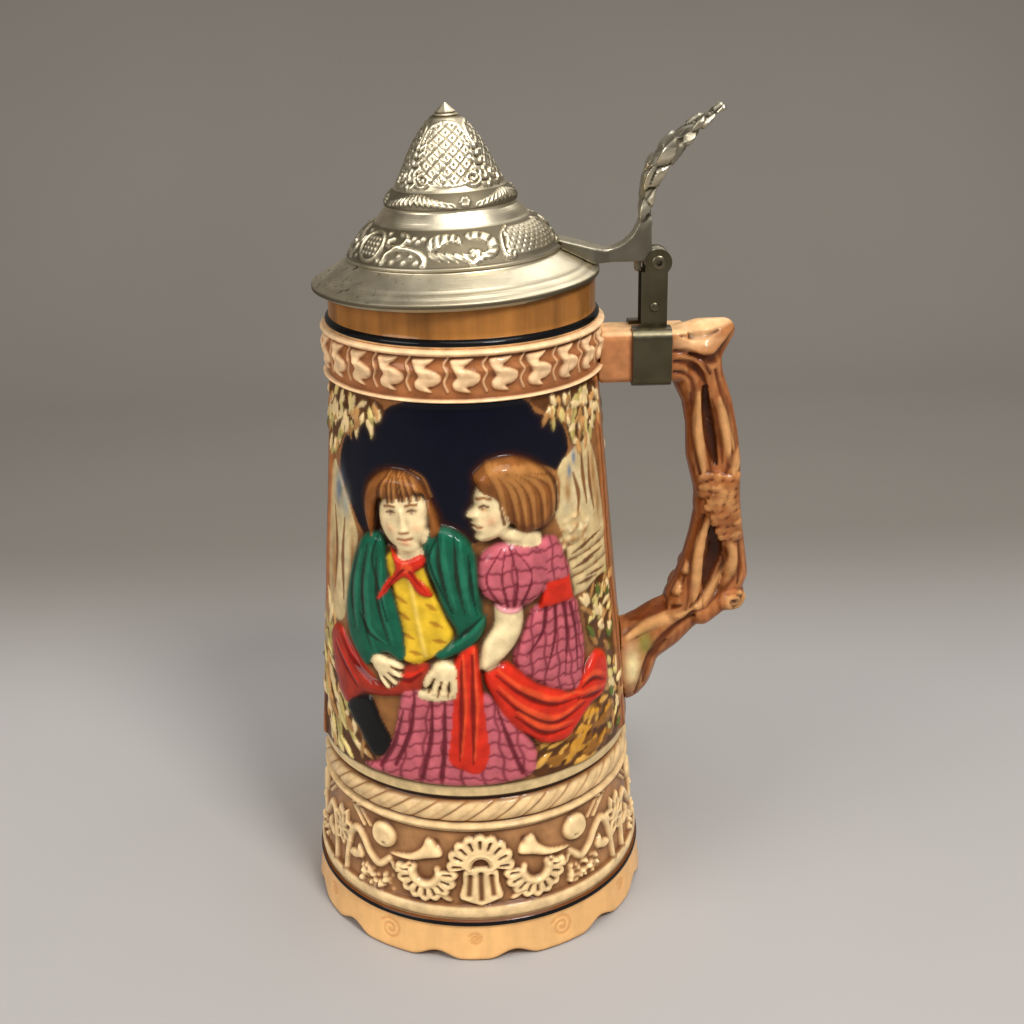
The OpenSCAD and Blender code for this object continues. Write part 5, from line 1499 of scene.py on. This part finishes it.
Z_RIDGE, Z_BELT, Z_LEAF, Z_CONE = 7.1, 16.6, 21.3, 25.5
LEVELS = (-0.9, 0.0, Z_RIDGE - 0.6, Z_RIDGE + 0.6, Z_BELT, Z_LEAF, Z_CONE)
EDGES = [along_lid(z) for z in LEVELS] + [lid_along[-1]]
ROW_COUNTS = (3, 24, 6, 38, 8, 18, 66)
runs = [np.linspace(a, b, n, endpoint=False) for a, b, n in zip(EDGES, EDGES[1:], ROW_COUNTS)]
LID_ROWS = np.concatenate(runs + [[lid_along[-1]]])
QUARTER_STEPS = 128
HALF = np.radians(np.linspace(-90, 90, 2 * QUARTER_STEPS + 1))
QUARTER = HALF[QUARTER_STEPS // 2:3 * QUARTER_STEPS // 2 + 1]
LID_TURN = math.radians(-2)
row_r = np.interp(LID_ROWS, lid_along, lid_line[:, 0])
row_z = np.interp(LID_ROWS, lid_along, lid_line[:, 1])
print("lid rows:", len(LID_ROWS), "of", len(HALF), "columns")

# %% The scroll band
def lattice(relief, outline, level, spacing, depth, pit):
    """Crossed grooves and a pit in each diamond, inside an outline."""
    for p, spot in relief.near(outline, 0):
        inside = np.clip(inside_depth(relief.u[spot], relief.z[spot], p) / 0.5, 0, 1)
        middle = p.mean(0)
        a = (relief.u[spot] - middle[0] + relief.z[spot] - middle[1]) / (1.414 * spacing)
        b = (relief.u[spot] - middle[0] - relief.z[spot] + middle[1]) / (1.414 * spacing)
        fa, fb = np.abs(a % 1 - 0.5), np.abs(b % 1 - 0.5)
        groove = np.clip((np.maximum(fa, fb) - 0.5) * spacing / 0.34 + 1, 0, 1)
        dent = np.clip(1 - np.hypot(fa, fb) * spacing / 0.5, 0, 1)
        relief.h[spot] += inside * (level - depth * groove - pit * dent)


def curled_leaf(relief, centre, radius, hand, start):
    """A spiral stem with a bead in its eye and pointed leaflets along its outside."""
    stem = spiral(centre, radius, 1.35, start, hand)
    relief.ridge(stem, 0.95, 0.7, taper=(0.9, 1, 0.7))
    relief.lump(centre, 0.9, 0.9, 0.6)
    for k in (1, 3, 6, 9):
        out = stem[k] - np.array(centre)
        way = math.degrees(math.atan2(out[1], out[0])) + 40 * hand
        relief.stamp(blade(stem[k], way, 0.9 * radius, 1.9, 0.2 * hand), 0.6, edge=0.6)


def leaflet(relief, shape, level):
    """A pointed leaf at a level, with a groove from its foot to its tip."""
    relief.stamp(shape, level, edge=0.5)
    relief.ridge([0.8 * shape[0] + 0.2 * shape[6], 0.2 * shape[0] + 0.8 * shape[6]], 0.4, -0.3)


ARCH = [(-18.6, 1.2), (-17.4, 4.4), (-13.4, 6.0), (-9, 5.2), (-6.8, 3.2), (-6.8, 1.0)]
HOOK = [(-15.4, 10.8), (-13.2, 10), (-12.8, 7.8), (-15.2, 6.4), (-18, 6.4), (-18.8, 8), (-17.4, 8.8)]
BIG_LEAF = [(-6.4, 7), (-5.6, 9.6), (-2.6, 10.9), (1.4, 10.7), (3.4, 9), (3.2, 6.6), (1.6, 7.8),
            (-1, 7.4), (-3.2, 5.6), (-5, 5.2)]
PLUME = [(4.6, 10.4), (7, 11.2), (10.6, 10.6), (13.2, 8), (13.2, 4.6), (11, 2.2), (8.6, 2.2), (8.2, 4),
         (10, 4.6), (10.2, 6.6), (8.2, 8.2), (5.4, 8.6)]
LEAF_RIBS = [[(-4.4, 6.2), (-4.8, 9.2)], [(-2.6, 7), (-2.7, 10.2)], [(-0.4, 8), (0, 10.3)],
             [(1.4, 8.2), (2.1, 9.9)], [(6, 8.9), (6.4, 10.7)], [(8.4, 8.4), (9.4, 10.5)],
             [(10.2, 6.9), (12.4, 8.5)], [(10.6, 4.9), (12.8, 5)], [(9.8, 3.6), (11.2, 2.8)]]
GRAPES = [(-15.6 + 1.7 * k, 2.0 + 1.6 * (k % 2)) for k in range(5)]
GRAPES += [(-12 + 1.4 * k, 8.4 + k % 2) for k in range(4)]


def scroll_half(rows):
    """The band between the beads: a dotted panel in a scrolled border, leaves, and a bowl of berries."""
    middle_r = 26.6
    relief = Relief(middle_r * HALF[None, :], LID_ROWS[rows][:, None] - EDGES[3], DARK, middle_r * np.pi)
    c = middle_r * math.radians(58)
    half = [(11.4, 2.4), (10.6, 7), (9.2, 10.8)]
    outline = [(0, 1.6)] + half + [(0, 11.2)] + [(-u, z) for u, z in half[::-1]]
    lattice(relief, curve(outline, True) + [c, 0], 0.45, 1.8, 0.1, 0.75)
    for side in (-1, 1):
        border = [(c + side * 12.2, 1.6), (c + side * 12.4, 5), (c + side * 11.2, 9), (c + side * 8, 11.4)]
        relief.ridge(curve(border), 0.7, 0.6)
        relief.ridge(spiral((c + side * 10.8, 2.6), 1.7, 1.2, 90 - side * 90, -side), 0.6, 0.4)
    for centre, radius, hand, start in (((-36.4, 6), 4.8, 1, 200), ((5.6, 2.8), 2.0, -1, 80)):
        curled_leaf(relief, centre, radius, hand, start)
    bowl = ellipse((-25, 6), 4.7, 4.7)
    relief.ridge(np.vstack([bowl, bowl[:1]]), 0.6, 0.7)
    for k in range(16):
        relief.lump((-27.4 + 1.6 * (k % 4), 3.6 + 1.6 * (k // 4)), 0.7, 0.7, 0.6)
    for shape in (BIG_LEAF, PLUME):
        relief.stamp(curve(shape, True), 0.6, edge=0.8)
    for rib in LEAF_RIBS:
        relief.ridge(rib, 0.5, -0.45, taper=(0.6, 1))
    for k in range(5):
        leaflet(relief, blade((-5.6 + 2.2 * k, 5.2 - 0.2 * k), -50, 4.6, 1.7, 0.1), 0.45 + 0.05 * k)
    for path in (ARCH, HOOK):
        relief.ridge(curve(path), 0.8, 0.7)
    for spot in GRAPES + [(-31, 2), (-31, 10.4), (-20.4, 2), (-20, 10.6), (15.4, 1.6), (-41, 1.8)]:
        relief.lump(spot, 0.75, 0.75, 0.6)
    fade = np.clip(np.minimum(relief.z, EDGES[4] - EDGES[3] - relief.z) / 0.7, 0, 1)
    return relief.h * fade


scroll_rows = (LID_ROWS >= EDGES[3]) & (LID_ROWS < EDGES[4])
lid_h = np.zeros((len(LID_ROWS), len(HALF)))
lid_h[scroll_rows] = scroll_half(scroll_rows)
print("scroll band: heights", np.round([lid_h.min(), lid_h.max()], 2), "mm")

# %% The leaf band and the cone
def leaf_quarter(rows):
    """A flower in each quarter, with a spray of seven leaves to both sides."""
    middle_r = 18.0
    u, s = middle_r * QUARTER[None, :], LID_ROWS[rows][:, None] - EDGES[5]
    relief = Relief(u, s, DARK, middle_r * np.pi / 2)
    c = 4.7
    for side in (-1, 1):
        for k in range(7):
            foot = (c + side * (2.4 + 1.75 * k), 0.4 + 0.1 * k)
            leaflet(relief, blade(foot, 90 - side * (56 - 8 * k), 4.6, 1.8, -side * 0.16), 0.4 + 0.05 * k)
    for a in range(6):
        relief.lump((c + 1.1 * math.cos(a * 1.047), 2.2 + 1.1 * math.sin(a * 1.047)), 0.55, 0.55, 0.6)
    fade = np.clip(np.minimum(relief.z, EDGES[6] - EDGES[5] - relief.z) / 0.6, 0, 1)
    return relief.h * fade


def cone_quarter(rows):
    """A lattice panel in a border that widens upwards, with scrolls at its foot and leaves beside it."""
    s = LID_ROWS[rows][:, None] - EDGES[6]
    radius = row_r[rows][:, None]
    relief = Relief(radius * QUARTER[None, :], s, DARK)
    top = lid_along[-1] - EDGES[6]
    at = np.array([3.4, 6, 10, 15, 18.6, 20.4])
    wide = np.interp(at + EDGES[6], LID_ROWS, row_r) * np.radians([31, 35, 39, 42, 40, 31])
    right = np.stack([wide, at], -1)
    outline = curve(np.vstack([right, [(0, 21.4)], right[::-1] * [-1, 1], [(0, 2.2)]]), True)
    lattice(relief, outline, 0.15, 2.8, 0.4, 0.45)
    relief.ridge(np.vstack([outline, outline[:1]]), 0.5, 0.3)
    for side in (-1, 1):
        relief.ridge(spiral((side * 7.4, 4.2), 2.9, 1.4, 90 - side * 60, -side), 0.7, 0.6)
        for k in range(6):
            at = 1.0 + 2.3 * k
            edge_u = float(np.interp(at + EDGES[6], LID_ROWS, row_r)) * math.radians(44.5)
            relief.stamp(blade((side * edge_u, at), 90 + side * 48, 3.6, 1.5, side * 0.12), 0.6, edge=0.5)
    fade = np.clip(np.minimum(s - 0.5, top - 0.4 - s) / 0.6, 0, 1)
    return relief.h * fade


SCRIBED = ((38.1, 0.16), (40.6, 0.1))
leaf_rows = (LID_ROWS >= EDGES[5]) & (LID_ROWS < EDGES[6])
cone_rows = LID_ROWS >= EDGES[6]
quarters = (np.arange(len(HALF)) - QUARTER_STEPS // 2) % QUARTER_STEPS
lid_h[leaf_rows] = leaf_quarter(leaf_rows)[:, quarters]
lid_h[cone_rows] = cone_quarter(cone_rows)[:, quarters]
for radius_at, depth in SCRIBED:
    spot = np.abs(row_r - radius_at) < 0.45
    lid_h[spot & (LID_ROWS < EDGES[2])] -= depth
print("lid relief: heights", np.round([lid_h.min(), lid_h.max()], 2), "mm")

# %% The half, its ring and its place
JOINTS = ((2, 0.45, 0.8), (3, 0.5, 0.8), (4, 0.3, 0.6), (5, 0.3, 0.7), (6, 0.35, 0.9), (7, 0.9, 0.9))


def lid_half():
    slope = np.gradient(np.stack([row_r, row_z], -1), LID_ROWS, axis=0)
    slope /= np.hypot(*slope.T)[:, None]
    r = row_r[:, None] + slope[:, 1:] * lid_h
    z = row_z[:, None] - slope[:, :1] * lid_h
    hollow = np.clip((blur(lid_h, 2) - lid_h) * 4.2, 0, 0.92)
    ground = np.clip(0.84 - 1.6 * lid_h, 0, 0.84) * (scroll_rows | leaf_rows)[:, None]
    hollow = np.maximum(hollow, ground)
    for k, width, depth in JOINTS:
        hollow = np.maximum(hollow, (depth * np.exp(-((LID_ROWS - EDGES[k]) / width) ** 2))[:, None])
    # The lip below the brim is set dark: painted shade on the edge under the brim.
    hollow[LID_ROWS < EDGES[1] + 0.2] = 0.85
    scribed = (np.abs(row_r - SCRIBED[0][0]) < 0.3) & (LID_ROWS < EDGES[2])
    hollow = np.maximum(hollow, 0.35 * scribed[:, None])
    back = np.array([[SPIGOT_HOLE, row_z[-1]], [SPIGOT_HOLE, row_z[-1] - LID_SHEET]]
                    + [[a - LID_SHEET, b - LID_SHEET] for a, b in lid_line[::-1][1::3]])
    back = np.vstack([back, [lid_line[0, 0] - LID_SHEET, lid_line[0, 1]]])
    r = np.vstack([r, np.repeat(back[:, :1], len(HALF), 1)])
    z = np.vstack([z, np.repeat(back[:, 1:], len(HALF), 1)])
    turn = HALF + LID_TURN
    points = np.stack([r * np.sin(turn), -r * np.cos(turn), z], -1)
    tail = np.zeros((len(back), len(HALF)))
    turned = np.concatenate([LID_ROWS, lid_along[-1] + np.arange(len(back))])[:, None] + 0 * HALF
    faces = grid_faces(*r.shape, True, False)
    return finish_mesh("lid_dome", points.reshape(-1, 3), faces,
                       {"hollow": np.vstack([hollow, tail + 0.25]).ravel(), "turned": turned.ravel()})


lid = ring(lid_half(), 2, pewter)


def tarnish_lid(mesh):
    """Stores more tarnish on the brim of the far side from the handle than elsewhere."""
    places, _, _ = mesh_arrays(mesh)
    reach = np.hypot(places[:, 0], places[:, 1])
    side = np.clip((6 - places[:, 0]) / 36, 0, 1)
    store(mesh, "tarnish", np.clip((reach - 27) / 4, 0.06, 1) * (0.12 + 0.88 * side))


tarnish_lid(lid.data)
lid.data.transform(LID_PLACE)
print("lid_dome:", 2 * len(lid.data.polygons), "triangles")

# %% [markdown]
# ### The finial
# A small knob with eight flat sides closes the crown. It is turned like the lid, but its spire takes the
# radius of an octagon at each angle, and flat shading keeps the facets crisp.

# %% Finial
FINIAL_STEPS = 64


def finial_mesh():
    crown = row_z[-1]
    around = np.linspace(0, 2 * np.pi, FINIAL_STEPS, endpoint=False)
    octagon = math.cos(math.pi / 8) / np.cos(around % (math.pi / 4) - math.pi / 8)
    low, high = [(LID_PLACE.inverted() @ corner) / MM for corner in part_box("lid_finial")]
    tip = high.z
    wide = (high.y - low.y) / 2
    rows = [(1.4, crown - 0.9, 0), (1.4, crown + 0.02, 0), (wide - 0.3, crown + 0.03, 0),
            (wide, crown + 0.4, 0), (wide - 0.3, crown + 0.75, 0), (wide - 1.05, crown + 0.85, 0),
            (wide - 0.75, crown + 1.15, 1), (0.66 * wide, crown + 0.42 * (tip - crown), 1),
            (0.3, tip - 0.08, 1)]
    rings = []
    for r, z, flat in rows:
        reach = r * (octagon if flat else 1 + 0 * around)
        rings.append(np.stack([reach * np.cos(around), reach * np.sin(around), z + 0 * around], -1))
    points, faces = closed_rings(np.stack(rings), [0, 0, rows[0][1]], [0, 0, tip])
    dark = np.repeat([0.8, 0.8, 0.5, 0.1, 0.5, 0.9, 0.3, 0.0, 0.0], FINIAL_STEPS)
    made = finish_mesh("finial_knob", points, faces, {"hollow": np.append(dark, [0.8, 0])}, smooth=False)
    made.data.transform(LID_PLACE)
    made.data.materials.append(pewter)
    return made


finial = finial_mesh()
print("finial_knob:", len(finial.data.polygons), "faces")

# %% [markdown]
# ## The thumb lever
# The lever is a casting: a plain arm with a polished top, and a thumb piece as rough as split bark. The copy
# of the CAD lever is rebuilt with fine faces. Points scattered evenly over the thumb piece, from a fixed
# seed, each own the surface nearest to them and tilt it to a facet; the creases between stay dark.

# %% Lever
def scattered(places, gap, seed):
    """Picks places in a fixed random order that keep a gap to those already picked."""
    kept = np.empty((0, 3))
    for k in np.random.default_rng(seed).permutation(len(places)):
        if not len(kept) or ((kept - places[k]) ** 2).sum(1).min() > gap * gap:
            kept = np.vstack([kept, places[k]])
    return kept


def facet_relief(mesh, start, gap):
    """Heights that break a mesh above a level into tilted facets, their grime, and their number."""
    places, _, edges = mesh_arrays(mesh)
    share = np.clip((places[:, 2] - start) / 6, 0, 1)
    seeds = scattered(places[share > 0.05], gap, 4)
    dice = np.random.default_rng(5)
    leans = dice.normal(0, 0.32, (len(seeds), 3))
    nearest = np.full(len(places), np.inf)
    tilt, tone = np.zeros((2, len(places)))
    for seed, lean, dull in zip(seeds, leans, dice.choice((0, 0, 0.3, 0.65), len(seeds))):
        offset = places - seed
        distance = (offset ** 2).sum(1) - 0.7 * (offset @ (0.55, 0, 0.83)) ** 2
        closer = distance < nearest
        tilt, tone = np.where(closer, offset @ lean, tilt), np.where(closer, dull, tone)
        nearest = np.minimum(nearest, distance)
    rise = np.clip(tilt + 0.3 - 0.28 * np.sqrt(nearest), -0.9, 0.4)
    return share * spread(rise[:, None], edges, 1)[:, 0], share * tone, len(seeds)


lever = rebuilt(merged_copy("thumb_lever", "leaf_lever"), 0.42, 4)
hinge_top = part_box("hinge_pin")[1].z / MM
lever_relief, facet_tone, facet_count = facet_relief(lever.data, hinge_top + 7, 3.8)
push(lever.data, lever_relief)


def age_lever(mesh, tone):
    """Grime in the creases and on the arm's unpolished flat sides; painted shade on faces that look down."""
    places, normals, _ = mesh_arrays(mesh)
    depth = np.clip(hollows(mesh, 8) * 7, 0, 0.95)
    low = np.clip((hinge_top + 16 - places[:, 2]) / 6, 0, 1)
    side = np.clip((np.abs(normals[:, 1]) - 0.55) / 0.3, 0, 1) * low
    # Faces that look down are darkened: painted shade.
    below = np.clip((-normals[:, 2] - 0.2) / 0.5, 0, 1)
    store(mesh, "hollow", np.clip(np.maximum.reduce([depth, tone, 0.78 * side, 0.6 * below]), 0, 1))
    store(mesh, "tarnish", np.full(len(places), 0.35))


age_lever(lever.data, facet_tone)
lever.data.materials.append(lever_cast)
print("leaf_lever:", 2 * len(lever.data.polygons), "triangles,", facet_count, "facets")

# %% [markdown]
# ## Strap, pin and rivet
# These stay as the CAD solids and only take a better finish: each goes into the material slots that the
# node already has.

# %% Finishes of the hinge
def finish_node(name, material):
    """Puts a material in the slots of a CAD node."""
    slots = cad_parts[name].data.materials
    for k in range(len(slots)):
        slots[k] = material


STEEL_NODES = {"hinge_strap": strap_steel, "hinge_pin": pin_steel, "neck_rivet": pin_steel,
               "neck_spacer": strap_steel}
for node, steel in STEEL_NODES.items():
    finish_node(node, steel)
print("steel nodes:", ", ".join(STEEL_NODES))

# %% [markdown]
# ## Stage, light and camera
# A sheet that curves up far behind the stein is floor and backdrop in one: pale where the stein stands,
# grey behind it. Large soft lamps above give the broad highlights on glaze and metal, and a small one
# behind lights the brim of the lid. The camera stands where the photographer stood.

# %% Floor and backdrop
def backdrop():
    """A sheet that runs back along the floor and curves up into a wall."""
    depth, bend, height, half = 0.55, 0.3, 2.2, 3.0
    a = np.linspace(0, np.pi / 2, 13)
    line = [(-3.0, 0), (depth, 0)]
    line += [(depth + bend * math.sin(t), bend - bend * math.cos(t)) for t in a[1:]]
    line.append((depth + bend, height))
    points = [(x, y, z - 0.0002) for y, z in line for x in (-half, half)]
    faces = [[2 * i, 2 * i + 1, 2 * i + 3, 2 * i + 2] for i in range(len(line) - 1)]
    return finish_mesh("backdrop", np.array(points) / MM, faces, {})


def backdrop_material():
    material, tree, shader = new_material("paper")
    tone = remap(tree, object_noise(tree, 3.0), 0.96, 1.04)
    place = add_node(tree, "ShaderNodeTexCoord").outputs["Object"]
    back = add_node(tree, "ShaderNodeSeparateXYZ", [("Vector", place)]).outputs["Y"]
    fall = add_node(tree, "ShaderNodeMapRange", [("Value", back), ("From Min", 0.09), ("From Max", 0.3)],
                    interpolation_type="SMOOTHSTEP").outputs["Result"]
    shade = mix(tree, fall, paint(168, 163, 158), paint(122, 116, 107))
    set_inputs(tree, shader, [("Base Color", multiply(tree, shade, tone)), ("Roughness", 0.9)])
    return material


sheet = backdrop()
sheet.data.materials.append(backdrop_material())
print("backdrop:", len(sheet.data.polygons), "faces")

# %% Lamps
def lamp(name, place, aim, size, power):
    """A round soft lamp at a place, turned to what it lights."""
    data = bpy.data.lights.new(name, "AREA")
    data.shape, data.size, data.energy = "DISK", size, power
    made = bpy.data.objects.new(name, data)
    made.location = place
    made.rotation_euler = (Vector(aim) - Vector(place)).to_track_quat("-Z", "Y").to_euler()
    bpy.context.scene.collection.objects.link(made)
    return made


MIDDLE = (0.01, 0, 0.13)
lamp("key", (0.45, -0.75, 1.15), MIDDLE, 0.36, 12)
lamp("fill", (-0.9, -0.6, 0.75), MIDDLE, 0.7, 6)
lamp("top", (0.2, -0.3, 1.35), MIDDLE, 1.0, 8)
lamp("back", (0.3, 0.6, 0.85), (0.01, 0, 0.22), 0.6, 1.6)
world = bpy.data.worlds.new("studio")
bpy.context.scene.world = world
world.use_nodes = True
world.node_tree.nodes["Background"].inputs["Color"].default_value = (0.86, 0.86, 0.9, 1)
world.node_tree.nodes["Background"].inputs["Strength"].default_value = 0.35
print("lamps: key, fill, top and back")

# %% Camera at the photograph's view
CAMERA_PLACE = (0.0, -0.40841, 0.28985)
CAMERA_RIGHT = (0.99896942, -0.04097404, -0.01952487)
CAMERA_UP = (0.03319331, 0.36612112, 0.92997502)
CAMERA_BACK = (-0.03095636, -0.92966470, 0.36710386)
FOCAL_PIXELS, PHOTO_PIXELS = 1392.36, 1024

data = bpy.data.cameras.new("camera")
data.sensor_width = 36
data.lens = data.sensor_width * FOCAL_PIXELS / PHOTO_PIXELS
data.clip_start = 0.01
camera = bpy.data.objects.new("camera", data)
axes = Matrix((CAMERA_RIGHT, CAMERA_UP, CAMERA_BACK)).transposed().to_4x4()
camera.matrix_world = Matrix.Translation(CAMERA_PLACE) @ axes
bpy.context.scene.collection.objects.link(camera)
bpy.context.scene.camera = camera
bpy.context.scene.view_settings.view_transform = "Standard"
print("lens:", round(data.lens, 2), "mm")

# %% [markdown]
# ## Join the looks to the model
# Each piece rides on the body that carries it, and the CAD node it stands for is hidden.

# %% Ride and replace
MUG_PIECES = [core, skirt, frieze, rope_band, *pictures, scroll_band]
for piece in MUG_PIECES:
    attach(piece, "mug")
    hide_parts("mug_body")
DRESSED = [(handle, "mug", "handle", "branch_glaze"), (lid, "lid", "lid_shell", "lid_metal"),
           (finial, "lid", "lid_finial", "lid_metal"), (lever, "lid", "thumb_lever", "lever_metal")]
for piece, body, node, finish in DRESSED:
    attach(piece, body)
    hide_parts(node)
